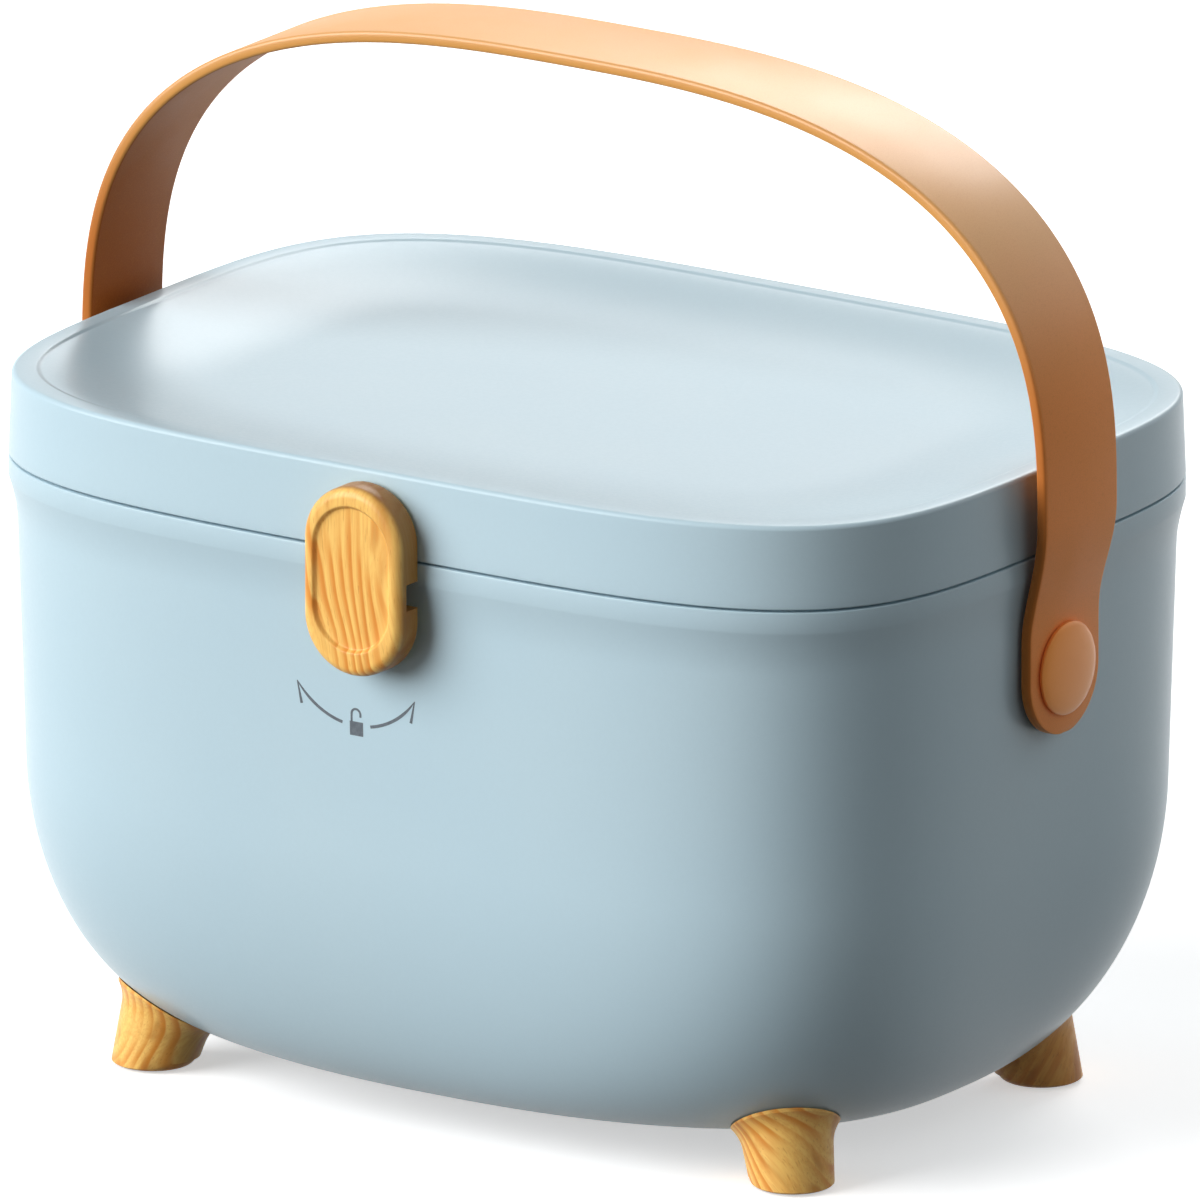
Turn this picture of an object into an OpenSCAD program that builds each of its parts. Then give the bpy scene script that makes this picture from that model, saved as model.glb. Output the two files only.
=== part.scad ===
// Medicine storage box: a soft-cornered tub on four leaning feet, a dished lid hinged at the
// rear, a turning latch knob at the front and a strap handle that arches over the lid.
// Millimetres, +Z up, floor at z = 0, front towards -Y, origin under the middle of the body.

/* [Body] */
// Width of the lid across its top edge
lid_w = 270; // [250:1:300]
// Depth of the lid across its top edge
lid_d = 197; // [185:1:215]
// Height of the closed lid's top edge above the floor
body_h = 177; // [168:1:195]
// Wall thickness of the tub and the lid
wall = 2.4; // [2:0.1:3]
// Squareness of the outline in plan, 2 is an ellipse
outline_n = 4.07; // [3.4:0.01:4.6]

/* [Lid] */
// Height of the lid's skirt
skirt_h = 20.9; // [19:0.1:26]
// Outward flare of the skirt from its top to its bottom edge
skirt_flare = 0.65; // [0.3:0.05:1.2]
// Width of the flat rim round the dish
rim_w = 5.3; // [4.5:0.1:8]
// Height of the small step from the rim down into the dish
rim_step = 0.5; // [0.3:0.05:0.8]
// Width of that step
rim_step_w = 1; // [0.8:0.1:1.5]
// Radius of the lid's top outer edge
rim_r = 1.2; // [0.6:0.1:2]
// Depth of the dished top
dish_depth = 5.5; // [3:0.1:7]
// Run of the dish's curved border
dish_run = 40; // [24:1:48]
// Dark gap between the lid and the collar
parting_gap = 0.6; // [0.4:0.1:1]
// Opening angle of the lid
open_angle = 105; // [95:1:115]

/* [Tub] */
// Height of the collar under the lid
collar_h = 5.1; // [4:0.1:7]
// Step from the collar in to the wall
collar_step = 1.6; // [1:0.1:2.4]
// Height of the hollow sweep from the wall out to the collar's lower edge
collar_blend = 12; // [8:0.5:14]
// Inward slope of the walls, in degrees from upright
wall_draft = 1.5; // [1:0.1:2]
// Height of the tub's bottom above the floor
ground_gap = 10; // [8:0.5:13]
// Height of the rounded bottom edge
round_rise = 68; // [58:1:76]
// Inward run of the rounded edge at the short sides
round_run_x = 34; // [28:1:40]
// Inward run of the rounded edge at the long sides
round_run_y = 29; // [24:1:34]
// Squareness of the flat bottom in plan
floor_n = 2.1; // [2:0.05:2.6]
// Height of the lip that locates the lid
lip_h = 2.5; // [1.8:0.1:3.5]
// Thickness of the lip
lip_t = 1.8; // [1.4:0.1:2.4]
// Gap between the lip and the skirt
lip_gap = 0.5; // [0.4:0.1:0.9]

/* [Feet] */
// Distance of a foot's middle on the floor from the lid's left or right edge
foot_inset_x = 40.4; // [36:0.1:46]
// Distance of a foot's middle on the floor from the lid's front or rear edge
foot_inset_y = 43.5; // [39:0.1:48]
// Radius of a foot on the floor
foot_r = 10.3; // [9:0.1:12]
// Outward lean of a foot, in degrees
foot_lean = 15; // [10:0.5:18]
// Widening of a foot's radius per millimetre of height
foot_taper = 0.09; // [0.05:0.01:0.12]
// Radius of the foot's lower edge
foot_edge_r = 2; // [1:0.1:3]
// Width of the thin lip where a foot meets the tub
foot_lip_w = 1.8; // [1:0.1:2.4]
// Thickness of that lip
foot_lip_t = 1.3; // [0.8:0.1:2]
// Radius of the anti-slip pad
pad_r = 7; // [5:0.1:7.5]
// Thickness of the anti-slip pad
pad_t = 1.4; // [1:0.1:2]
// Part of the pad that stands out of the foot
pad_proud = 0.4; // [0.2:0.1:0.6]
// Shank radius of the screw that holds a foot
screw_r = 1.7; // [1.5:0.1:2]
// Length of that screw's shank
screw_l = 13; // [11:0.5:14]
// Head radius of that screw
screw_head_r = 3.8; // [3.4:0.1:4.2]
// Head height of that screw
screw_head_h = 2.2; // [1.8:0.1:2.8]

/* [Handle] */
// Width of the strap over the lid
strap_w = 31.9; // [28:0.1:34]
// Width of the strap's waist above the rivet
strap_waist_w = 30.1; // [27:0.1:32]
// Width of the strap at the rivet
strap_end_w = 30.9; // [28:0.1:33]
// Thickness of the strap
strap_t = 3; // [2.5:0.1:3.5]
// Height of the strap's top above the lid's top edge
strap_rise = 86; // [75:1:100]
// Gap between the strap and the lid's widest edge
strap_side_gap = 3.85; // [3:0.05:6]
// Squareness of the strap's arch
arch_n = 2.75; // [2.4:0.05:3]
// Depth of the arch's widest point below the lid's top edge
arch_drop = 12; // [8:0.5:15]
// Depth of the rivets below the lid's top edge
pivot_drop = 51.5; // [48:0.5:56]
// Length of the strap below the rivet's middle
strap_tail = 16.7; // [15.5:0.1:19]
// Radius of the rivet's domed cap
cap_r = 11.7; // [10:0.1:13]
// Height of the cap's dome
cap_dome_h = 2; // [1.4:0.1:3]
// Height of the cap's straight edge
cap_edge_h = 0.7; // [0.5:0.1:1]
// Radius of the rivet's post
post_r = 3; // [2.5:0.1:3.5]
// Radius of the washer between the strap and the tub
strap_washer_r = 8; // [7:0.1:9]
// Thickness of the washer between the strap and the tub
strap_washer_t = 0.6; // [0.5:0.1:1]
// Radius of the washer inside the tub
back_washer_r = 8.5; // [7.5:0.1:9.5]
// Thickness of the washer inside the tub
back_washer_t = 1.5; // [1:0.1:2]
// Radius of the rivet's closed head inside the tub
post_head_r = 4.6; // [4:0.1:5.2]
// Height of the rivet's closed head inside the tub
post_head_h = 1.5; // [1:0.1:2]

/* [Latch] */
// Width of the knob
knob_w = 29; // [26:0.5:32]
// Length of the knob
knob_l = 47.8; // [45:0.1:52]
// Thickness of the knob
knob_t = 8.1; // [7.6:0.1:9.5]
// Depth of the knob's top below the lid's top edge
knob_drop = 2.7; // [1.5:0.1:4]
// Depth of the knob's pivot below the lid's top edge
latch_drop = 13.5; // [12.5:0.1:14.5]
// Radius of the knob's rounded front edge
knob_edge_r = 3.2; // [2:0.1:4]
// Width of the raised border beside the knob's face
knob_border = 3; // [2.5:0.1:4]
// Width of that border above the face
knob_border_top = 4.3; // [3:0.1:6]
// Width of that border below the face
knob_border_low = 5.9; // [4:0.1:7]
// Depth of the recessed face
knob_recess = 1; // [0.6:0.1:1.4]
// Depth of the slot in the knob's back
slot_depth = 5.1; // [4.8:0.1:5.3]
// Height of the notches in the knob's sides
notch_h = 6.7; // [6:0.1:7.5]
// Width of the catch
catch_w = 7; // [6:0.1:8]
// Height of the catch
catch_h = 4.2; // [3.6:0.1:4.8]
// Reach of the catch into the slot
catch_reach = 4.2; // [3.6:0.1:4.4]
// Turn of the knob to either side, in degrees
latch_turn = 25; // [20:1:30]
// Radius of the knob's pivot
latch_pivot_r = 4.5; // [4:0.1:5]
// Radius of the washer behind the skirt
latch_washer_r = 6; // [5.5:0.1:6.5]
// Thickness of that washer
latch_washer_t = 1; // [0.8:0.1:1.4]
// Shank radius of the latch screw
latch_screw_r = 1.5; // [1.2:0.1:1.8]
// Length of the latch screw's shank
latch_screw_l = 9; // [7:0.5:10]

/* [Hinge] */
// Distance of each hinge from the middle of the box
hinge_x = 45; // [35:1:55]
// Width of the lid's knuckle
lid_knuckle_w = 10; // [8:0.5:14]
// Width of each of the tub's knuckles
tub_knuckle_w = 6; // [5:0.5:8]
// Radius of the knuckles
knuckle_r = 4; // [3.5:0.1:4.5]
// Radius of the hinge pin
hinge_pin_r = 1.5; // [1.2:0.1:2]
// Depth of the hinge's axis below the lid's lower edge
hinge_drop = 2.3; // [1.8:0.1:3]

/* [Tray] */
// Depth of the tray
tray_h = 32; // [26:1:36]
// Wall thickness of the tray
tray_wall = 1.8; // [1.5:0.1:2.4]
// Gap between the tray's flange and the lip
tray_gap = 0.8; // [0.6:0.1:1.2]
// Width of the tray's flange
flange_w = 4; // [3.6:0.1:5]
// Depth of the tray's flange below the collar's top
tray_drop = 3.2; // [2.6:0.1:5]
// Distance of the tray's long rib behind the middle
long_rib_y = 14; // [0:1:30]
// Distance of the loose dividers from the middle
divider_x = 42; // [30:1:55]
// Thickness of the ribs and dividers
divider_t = 1.6; // [1.2:0.1:2]
// Distance of the tray's rests from the middle
rest_x = 70; // [60:1:80]
// Width of each tray rest
rest_w = 3; // [2.4:0.1:5]
// Height of each tray rest
rest_h = 30; // [20:1:40]

/* [Hidden] */

round_fn = 64;
outline_steps = 64;
edge_steps = 4;
step_steps = 6;
round_steps = 8;
dish_steps = 7;

// Clearances
run_fit = 0.05;
pin_fit = 0.02;
side_play = 0.3;
seat_gap = 0.25;
catch_play = 0.6;
stop_gap = 0.3;
knob_gap = 0.45;
screw_play = 0.35;

// Overlap that sinks one solid into another before they are joined or cut
sink = 1;
edge_break = 0.4;

// Heights
part_z = body_h - skirt_h;
collar_z = part_z - parting_gap;
collar_low_z = collar_z - collar_h;
pivot_z = body_h - pivot_drop;
latch_z = body_h - latch_drop;
hinge_z = part_z - hinge_drop;

// Half sizes of the outline at the skirt's lower edge
edge_a = lid_w / 2 + skirt_flare;
edge_b = lid_d / 2 + skirt_flare;
hinge_y = edge_b + knuckle_r + parting_gap;

// Place of a foot's middle on the floor
foot_x = lid_w / 2 - foot_inset_x;
foot_y = lid_d / 2 - foot_inset_y;

// Points of the plan outline at one height, as a rounded oblong of half sizes a and b
function outline(a, b, n, z) = [
    for (i = [0 : outline_steps - 1])
        let (t = 360 * i / outline_steps, c = cos(t), s = sin(t))
        [a * sign(c) * pow(abs(c), 2 / n), b * sign(s) * pow(abs(s), 2 / n), z]
];

// Soft rise from 0 to 1
function ease(k) = (1 - cos(180 * min(1, max(0, k)))) / 2;

// Half depth of the outline at a distance x from the middle
function depth_at(a, b, n, x) = b * pow(1 - pow(abs(x) / a, n), 1 / n);

// Skin through a list of [z, a, b, n] sections, closed flat at the first and the last
module loft(sections) {
    m = outline_steps;
    last = len(sections) - 1;
    points = [for (s = sections) each outline(s[1], s[2], s[3], s[0])];
    sides = [
        for (k = [0 : last - 1], i = [0 : m - 1])
            let (a = k * m + i, b = k * m + (i + 1) % m)
            each [[a, a + m, b], [b, a + m, b + m]]
    ];
    low = [for (i = [0 : m - 1]) i];
    high = [for (i = [m - 1 : -1 : 0]) last * m + i];
    polyhedron(points = points, faces = concat([low], sides, [high]), convexity = 6);
}

// Section at height z, drawn in from the skirt's lower edge by inset
function section(z, inset) = [z, edge_a - inset, edge_b - inset, outline_n];

// Inset of the tub's outer wall at height z, above the rounded bottom
function wall_inset(z) = collar_step + tan(wall_draft) * (collar_low_z - z);

// Section of the rounded bottom at angle u, 90 at the flat bottom and 0 at the wall,
// drawn in by inset square to the surface
function round_section(u, inset) =
    let (
        z = ground_gap + round_rise * (1 - sin(u)),
        k = 1 - cos(u),
        side = wall_inset(z) + inset * (1 - k / 2)
    ) [
        z + inset * sin(u),
        edge_a - side - round_run_x * k,
        edge_b - side - round_run_y * k,
        outline_n + (floor_n - outline_n) * k
    ];

function round_sections(inset) = [
    for (i = [0 : round_steps]) round_section(90 - 90 * i / round_steps, inset)
];

// Solid body of the tub's lower half, drawn in by inset
module core(inset) {
    top_z = ground_gap + round_rise + foot_r;
    loft(concat(round_sections(inset), [section(top_z, wall_inset(top_z) + inset)]));
}

// Hollow sweep from the wall out to the collar's crisp lower edge, steepest at its top
function collar_sections() = [
    for (i = [0 : step_steps])
        let (k = i / step_steps, z = collar_low_z - collar_blend * (1 - k))
        section(z, wall_inset(z) * (1 - k * k))
];

// Half width and half depth of the tub's outer wall at the rivets' height
wall_a = edge_a - wall_inset(pivot_z);

// Stack on the rivet, outwards from the middle of the box
pad_rise = 0.35;
pad_out_a = wall_a + pad_rise;
pad_in_a = wall_a - wall - pad_rise;
strap_in_a = pad_out_a + strap_washer_t + seat_gap;
strap_out_a = strap_in_a + strap_t;
cap_a = strap_out_a + seat_gap;
back_in_a = pad_in_a - back_washer_t;

/* Tub */

lip_out = wall + lip_gap;
lip_in = lip_out + lip_t;
inner_top_z = collar_low_z - collar_blend;

module tub_shell() {
    outer = concat(
        round_sections(0),
        collar_sections(),
        [section(collar_z - edge_break, 0), section(collar_z, edge_break)]
    );
    inner_round = round_sections(wall);
    rim = [
        section(collar_z, lip_out),
        section(collar_z + lip_h, lip_out),
        section(collar_z + lip_h, lip_in),
        section(collar_z, lip_in),
        section(inner_top_z, wall_inset(inner_top_z) + wall)
    ];
    inner = [for (i = [round_steps : -1 : 0]) inner_round[i]];
    loft(concat(outer, rim, inner));
}

// Place and direction of a foot's axis, given the signs of its corner
function foot_turn(sx, sy) = atan2(sy * foot_y, sx * foot_x);

module at_foot(sx, sy) {
    translate([sx * foot_x, sy * foot_y, 0])
        rotate([0, 0, foot_turn(sx, sy)])
            rotate([0, -foot_lean, 0])
                children();
}

module at_corners() {
    for (sx = [-1, 1], sy = [-1, 1])
        at_foot(sx, sy)
            children();
}

// Share of the outline at which a foot's axis meets the rounded bottom at angle u, 1 on it
function foot_share(u) =
    let (
        s = round_section(u, 0),
        x = foot_x - s[0] * tan(foot_lean) * cos(foot_turn(1, 1)),
        y = foot_y - s[0] * tan(foot_lean) * sin(foot_turn(1, 1))
    )
    pow(x / s[1], s[3]) + pow(y / s[2], s[3]);

// Angle of the rounded bottom at which a foot's axis meets it, by halving
function foot_angle(low = 0, high = 90, steps = 16) =
    steps == 0 ? low
    : let (mid = (low + high) / 2)
        foot_share(mid) < 1 ? foot_angle(mid, high, steps - 1) : foot_angle(low, mid, steps - 1);

// Distance along a foot's axis from the floor to the tub
foot_seat_h = round_section(foot_angle(), 0)[0] / cos(foot_lean);
boss_rise = 2.6;
boss_top_h = foot_seat_h + wall + boss_rise;

// Place on a short side at the rivet, axis outwards
module at_rivet(sx) {
    translate([0, 0, pivot_z])
        rotate([0, sx * 90, 0])
            children();
}

// Raised round pads that carry the rivets' washers
module rivet_pads() {
    for (sx = [-1, 1])
        at_rivet(sx)
            translate([0, 0, pad_in_a])
                cylinder(r = back_washer_r + pad_rise, h = pad_out_a - pad_in_a, $fn = round_fn);
}

module rivet_holes() {
    for (sx = [-1, 1])
        at_rivet(sx)
            translate([0, 0, pad_in_a - sink])
                cylinder(r = post_r + run_fit, h = pad_out_a - pad_in_a + 2 * sink, $fn = round_fn);
}

// Catch that the knob's slot runs over, as half a height each side of its middle
knob_back_b = edge_b + knob_gap;
catch_mid_z = collar_low_z - knob_gap / 2 - catch_h / 2;
catch_root_b = edge_b - wall_inset(catch_mid_z) - wall / 2;
catch_side = (catch_w - catch_h) / 2;

module catch() {
    run = knob_back_b + catch_reach - catch_root_b;
    translate([0, -(knob_back_b + catch_reach), catch_mid_z])
        rotate([-90, 0, 0]) {
            for (sx = [-1, 1])
                translate([sx * catch_side, 0, 0])
                    cylinder(r = catch_h / 2, h = run, $fn = round_fn);
            translate([-catch_side, -catch_h / 2, 0])
                cube([2 * catch_side, catch_h, run]);
        }
}

// Knuckle about the hinge's axis, centred on x
module knuckle(x, w) {
    translate([x - w / 2, hinge_y, hinge_z])
        rotate([0, 90, 0])
            cylinder(r = knuckle_r, h = w, $fn = round_fn);
}

// Web from a knuckle to a wall, as an outline in y and z round the hinge's axis,
// a little narrower than the knuckle of width w
module web(x, w, outline_yz) {
    web_w = w - 2 * web_step;
    translate([x + web_w / 2, hinge_y, hinge_z])
        rotate([90, 0, -90])
            linear_extrude(web_w)
                polygon([for (p = outline_yz) [-p[0], p[1]]]);
}

tub_knuckle_x = lid_knuckle_w / 2 + side_play + tub_knuckle_w / 2;
hinge_pin_l = lid_knuckle_w + 2 * (tub_knuckle_w + side_play);
hinge_reach = hinge_y - edge_b;
web_root = knuckle_r * 0.53;
web_step = 0.4;
web_h = 8;

module tub_knuckles() {
    low_z = -(hinge_z - collar_low_z + web_h);
    top_z = web_root * 0.4;
    wall_y = -(hinge_reach + collar_step + wall * 0.4);
    for (sx = [-1, 1], k = [-1, 1]) {
        x = sx * hinge_x + k * tub_knuckle_x;
        knuckle(x, tub_knuckle_w);
        web(x, tub_knuckle_w, [
            [0, 0],
            [-web_root, top_z],
            [wall_y, top_z],
            [wall_y, low_z],
            [wall_y + wall * 0.6, low_z],
            [web_root, -web_root]
        ]);
    }
}

module hinge_bores(r) {
    for (sx = [-1, 1])
        translate([sx * hinge_x, hinge_y, hinge_z])
            rotate([0, 90, 0])
                cylinder(r = r, h = hinge_pin_l + 2 * sink, center = true, $fn = round_fn);
}

// Wedge-shaped rests under the tray's flange
flange_a = edge_a - lip_in - tray_gap;
flange_b = edge_b - lip_in - tray_gap;
tray_a = flange_a - flange_w;
tray_b = flange_b - flange_w;
flange_z = collar_z - tray_drop;
rest_z = flange_z - tray_wall;

module tray_rests() {
    tip = depth_at(tray_a, tray_b, outline_n, rest_x) + 2 * seat_gap;
    root_top = depth_at(edge_a, edge_b, outline_n, rest_x) - wall_inset(rest_z) - wall / 2;
    root_low = root_top - tan(wall_draft) * rest_h;
    for (sx = [-1, 1], sy = [-1, 1])
        translate([sx * rest_x, 0, 0])
            mirror([0, sy < 0 ? 1 : 0, 0])
                rotate([90, 0, 90])
                    linear_extrude(rest_w, center = true)
                        polygon([
                            [tip, rest_z],
                            [root_top, rest_z],
                            [root_low, rest_z - rest_h],
                            [tip, rest_z - rest_w]
                        ]);
}

// Round bosses inside the tub that take the heads of the foot screws
module foot_bosses() {
    start = foot_seat_h - screw_head_r;
    intersection() {
        at_corners()
            translate([0, 0, start])
                cylinder(r = screw_head_r + boss_rise / 2, h = boss_top_h - start, $fn = round_fn);
        core(wall * 0.4);
    }
}

module foot_holes() {
    at_corners()
        translate([0, 0, boss_top_h - screw_l])
            cylinder(r = screw_r + screw_play, h = 2 * screw_l, $fn = round_fn);
}

module tub() {
    color("#a9c4d2")
        difference() {
            union() {
                tub_shell();
                rivet_pads();
                catch();
                tub_knuckles();
                tray_rests();
                foot_bosses();
            }
            rivet_holes();
            hinge_bores(hinge_pin_r + pin_fit);
            foot_holes();
            lip_notch();
        }
}

// Break in the lip behind the knob's pivot
module lip_notch() {
    w = 2 * (latch_washer_r + lip_t);
    translate([-w / 2, -edge_b + lip_out - sink, collar_z])
        cube([w, lip_t + 2 * sink, lip_h + sink]);
}

/* Lid */

dish_lead = 0.65;

// Outer inset of the skirt at height z
function skirt_inset(z) = skirt_flare * (z - part_z) / skirt_h;

// Section of the dished top at share k of its run inside the rim's step, lowered by drop;
// the fall is steepest in the outer third
function dish_section(k, drop) =
    section(
        body_h - drop - rim_step - (dish_depth - rim_step) * ease(pow(k, dish_lead)),
        skirt_flare + rim_w + rim_step_w + dish_run * k
    );

module lid_shell() {
    corner = wall / 2;
    underside = [for (i = [dish_steps : -1 : 0]) dish_section(i / dish_steps, wall)];
    skirt = [
        section(body_h - wall, skirt_flare + wall + corner),
        section(body_h - wall - corner, skirt_flare + wall),
        section(part_z, wall),
        section(part_z, edge_break),
        section(part_z + edge_break, 0)
    ];
    rim = [
        for (i = [0 : edge_steps])
            let (v = 90 * i / edge_steps)
            section(body_h - rim_r * (1 - sin(v)), skirt_flare + rim_r * (1 - cos(v)))
    ];
    crest = [section(body_h, skirt_flare + rim_w)];
    dish = [for (i = [0 : dish_steps]) dish_section(i / dish_steps, 0)];
    loft(concat(underside, skirt, rim, crest, dish));
}

// Half depth of the skirt's outer face and of the pad behind it at the knob's pivot
latch_out_b = edge_b - skirt_inset(latch_z);
latch_pad_t = 0.8;
latch_in_b = latch_out_b - wall - latch_pad_t;

module at_latch(b) {
    translate([0, -b, latch_z])
        rotate([90, 0, 0])
            children();
}

module lid_knuckles() {
    wall_y = -(hinge_reach + wall * 0.6);
    for (sx = [-1, 1]) {
        x = sx * hinge_x;
        knuckle(x, lid_knuckle_w);
        web(x, lid_knuckle_w, [
            [0, 0],
            [web_root, web_root],
            [wall_y, hinge_drop + web_h],
            [wall_y, hinge_drop + sink]
        ]);
        stop_nose(x);
    }
}

// Nose that meets the collar when the lid is fully open
module stop_nose(x) {
    reach = hinge_reach - stop_gap;
    nose_w = lid_knuckle_w - 4 * web_step;
    translate([x - nose_w / 2, hinge_y, hinge_z])
        rotate([open_angle, 0, 0])
            translate([0, -reach, -knuckle_r - sink])
                cube([nose_w, reach, knuckle_r + sink]);
}

module lid() {
    color("#b4ccd8")
        difference() {
            union() {
                lid_shell();
                lid_knuckles();
                at_latch(latch_in_b)
                    cylinder(r = latch_washer_r + latch_pad_t, h = wall, $fn = round_fn);
            }
            hinge_bores(hinge_pin_r + run_fit);
            at_latch(latch_in_b - sink)
                cylinder(r = latch_pivot_r + run_fit, h = wall + latch_pad_t + 2 * sink, $fn = round_fn);
        }
}

module hinge_pin(sx) {
    color("#c9ccd0")
        translate([sx * hinge_x, hinge_y, hinge_z])
            rotate([0, 90, 0])
                cylinder(r = hinge_pin_r, h = hinge_pin_l, center = true, $fn = round_fn);
}

/* Latch */

// Oblong solid from a half profile of [radius, height] points, its upper round end centred on y
module pill(profile, y, run) {
    both = concat(profile, [for (i = [len(profile) - 1 : -1 : 0]) [-profile[i][0], profile[i][1]]]);
    translate([0, y, 0]) {
        rotate_extrude(angle = 180, $fn = round_fn)
            polygon(profile);
        rotate([90, 0, 0])
            linear_extrude(run)
                polygon(both);
    }
    translate([0, y - run, 0])
        rotate([0, 0, 180])
            rotate_extrude(angle = 180, $fn = round_fn)
                polygon(profile);
}

knob_r = knob_w / 2;
knob_run = knob_l - knob_w;
knob_top_y = latch_drop - knob_drop - knob_r;

// Distances of the catch from the knob's pivot
catch_mid = latch_z - catch_mid_z;
catch_near = catch_mid - catch_h / 2;
catch_far = norm([catch_side, catch_mid]) + catch_h / 2;

module knob_body() {
    front = [
        for (i = [0 : edge_steps])
            let (v = 90 * i / edge_steps)
            [knob_r - knob_edge_r * (1 - cos(v)), knob_t - knob_edge_r * (1 - sin(v))]
    ];
    pill(concat([[0, 0], [knob_r, 0]], front, [[0, knob_t]]), knob_top_y, knob_run);
}

module knob_face() {
    r = knob_r - knob_border;
    top = knob_recess + sink;
    run = knob_l - knob_border_top - knob_border_low - 2 * r;
    pill(
        [[0, 0], [r - 2 * knob_recess, 0], [r, knob_recess], [r, top], [0, top]],
        latch_drop - knob_drop - knob_border_top - r, run
    );
}

// Slot in the knob's back: an arc that the catch runs along, a straight way out to both sides,
// and a way down that lets the catch pass when the knob hangs upright
module knob_slots() {
    deep = slot_depth + sink;
    spread = latch_turn + asin((catch_w / 2 + catch_play) / catch_near);
    way_w = catch_w + 2 * catch_play;
    translate([0, 0, -sink]) {
        rotate([0, 0, -90 - spread])
            rotate_extrude(angle = 2 * spread, $fn = round_fn)
                translate([catch_near - catch_play, 0])
                    square([catch_far - catch_near + 2 * catch_play, deep]);
        translate([-knob_w, -catch_mid - notch_h / 2, 0])
            cube([2 * knob_w, notch_h, deep]);
        translate([-way_w / 2, -knob_l, 0])
            cube([way_w, knob_l - catch_mid, deep]);
    }
}

boss_end = knob_back_b - latch_in_b + side_play / 2;
latch_head_h = latch_screw_r * 1.1;

module latch_knob() {
    color("#d9963a")
        at_latch(knob_back_b)
            difference() {
                union() {
                    knob_body();
                    translate([0, 0, -boss_end])
                        cylinder(r = latch_pivot_r, h = boss_end + sink, $fn = round_fn);
                }
                knob_slots();
                translate([0, 0, knob_t - knob_recess])
                    knob_face();
                translate([0, 0, -boss_end - sink])
                    cylinder(
                        r = latch_screw_r + pin_fit,
                        h = latch_screw_l - latch_washer_t + 1.5 * sink,
                        $fn = round_fn
                    );
            }
}

module latch_washer() {
    color("#c9ccd0")
        at_latch(knob_back_b - boss_end - latch_washer_t)
            ring(latch_washer_r, latch_screw_r + 2 * run_fit, latch_washer_t);
}

module latch_screw() {
    color("#b9bcc0")
        at_latch(knob_back_b - boss_end - latch_washer_t - latch_head_h) {
            cylinder(r = latch_screw_r * 1.9, h = latch_head_h, $fn = round_fn);
            cylinder(r = latch_screw_r, h = latch_head_h + latch_screw_l, $fn = round_fn);
        }
}

/* Feet */

foot_h = foot_seat_h + foot_r * 1.4;

// Leaning cone, widened by grow at its top
module foot_cone(sx, sy, grow) {
    at_foot(sx, sy)
        translate([0, 0, -foot_r])
            cylinder(
                r1 = foot_r * (1 - foot_taper),
                r2 = foot_r + foot_taper * foot_h + grow,
                h = foot_h + foot_r,
                $fn = round_fn
            );
}

// Upright space above the floor, rounded where the foot's lower edge is
module foot_room(sx, sy) {
    edge = foot_r + edge_break - foot_edge_r;
    far = 3 * foot_r;
    round = [
        for (i = [0 : edge_steps])
            let (v = 90 * i / edge_steps)
            [edge + foot_edge_r * sin(v), foot_edge_r * (1 - cos(v))]
    ];
    translate([sx * foot_x, sy * foot_y, pad_proud])
        rotate_extrude($fn = round_fn)
            polygon(concat([[0, 0]], round, [[far, foot_edge_r], [far, 2 * foot_h], [0, 2 * foot_h]]));
}

module foot(sx, sy) {
    color("#c98a35")
        difference() {
            intersection() {
                union() {
                    foot_cone(sx, sy, 0);
                    intersection() {
                        foot_cone(sx, sy, foot_lip_w);
                        core(-seat_gap - foot_lip_t);
                    }
                }
                foot_room(sx, sy);
            }
            core(-seat_gap);
            translate([sx * foot_x, sy * foot_y, -sink])
                cylinder(r = pad_r + 2 * run_fit, h = pad_t + sink, $fn = round_fn);
            at_foot(sx, sy)
                translate([0, 0, boss_top_h - screw_l - sink])
                    cylinder(r = screw_r + pin_fit, h = screw_l + foot_r, $fn = round_fn);
        }
}

module pad(sx, sy) {
    color("#4a4a4a")
        translate([sx * foot_x, sy * foot_y, 0])
            cylinder(r = pad_r, h = pad_t, $fn = round_fn);
}

module foot_screws() {
    color("#b9bcc0")
        at_corners() {
            translate([0, 0, boss_top_h])
                cylinder(r = screw_head_r, h = screw_head_h, $fn = round_fn);
            translate([0, 0, boss_top_h - screw_l])
                cylinder(r = screw_r, h = screw_l + screw_head_h / 2, $fn = round_fn);
        }
}

/* Handle */

strap_mid_a = strap_in_a + strap_t / 2;
arch_a = edge_a + strap_side_gap + strap_t / 2;
arch_z = body_h - arch_drop;
arch_h = strap_rise + arch_drop - strap_t / 2;
tail_r = strap_end_w / 2;
tail_z = pivot_z - strap_tail + tail_r;
flat_z = pivot_z + cap_r * 0.8;
waist_z = pivot_z + cap_r * 1.6;
tail_turn = 6;
tail_steps = 6;
bend_steps = 6;
arch_steps = 12;

// Width of the strap at height z, narrow at its waist just above the cap
function strap_width(z) =
    z < waist_z
    ? strap_end_w + (strap_waist_w - strap_end_w) * ease((z - flat_z) / (waist_z - flat_z))
    : strap_waist_w + (strap_w - strap_waist_w) * ease((z - waist_z) / (arch_z - waist_z));

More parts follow.
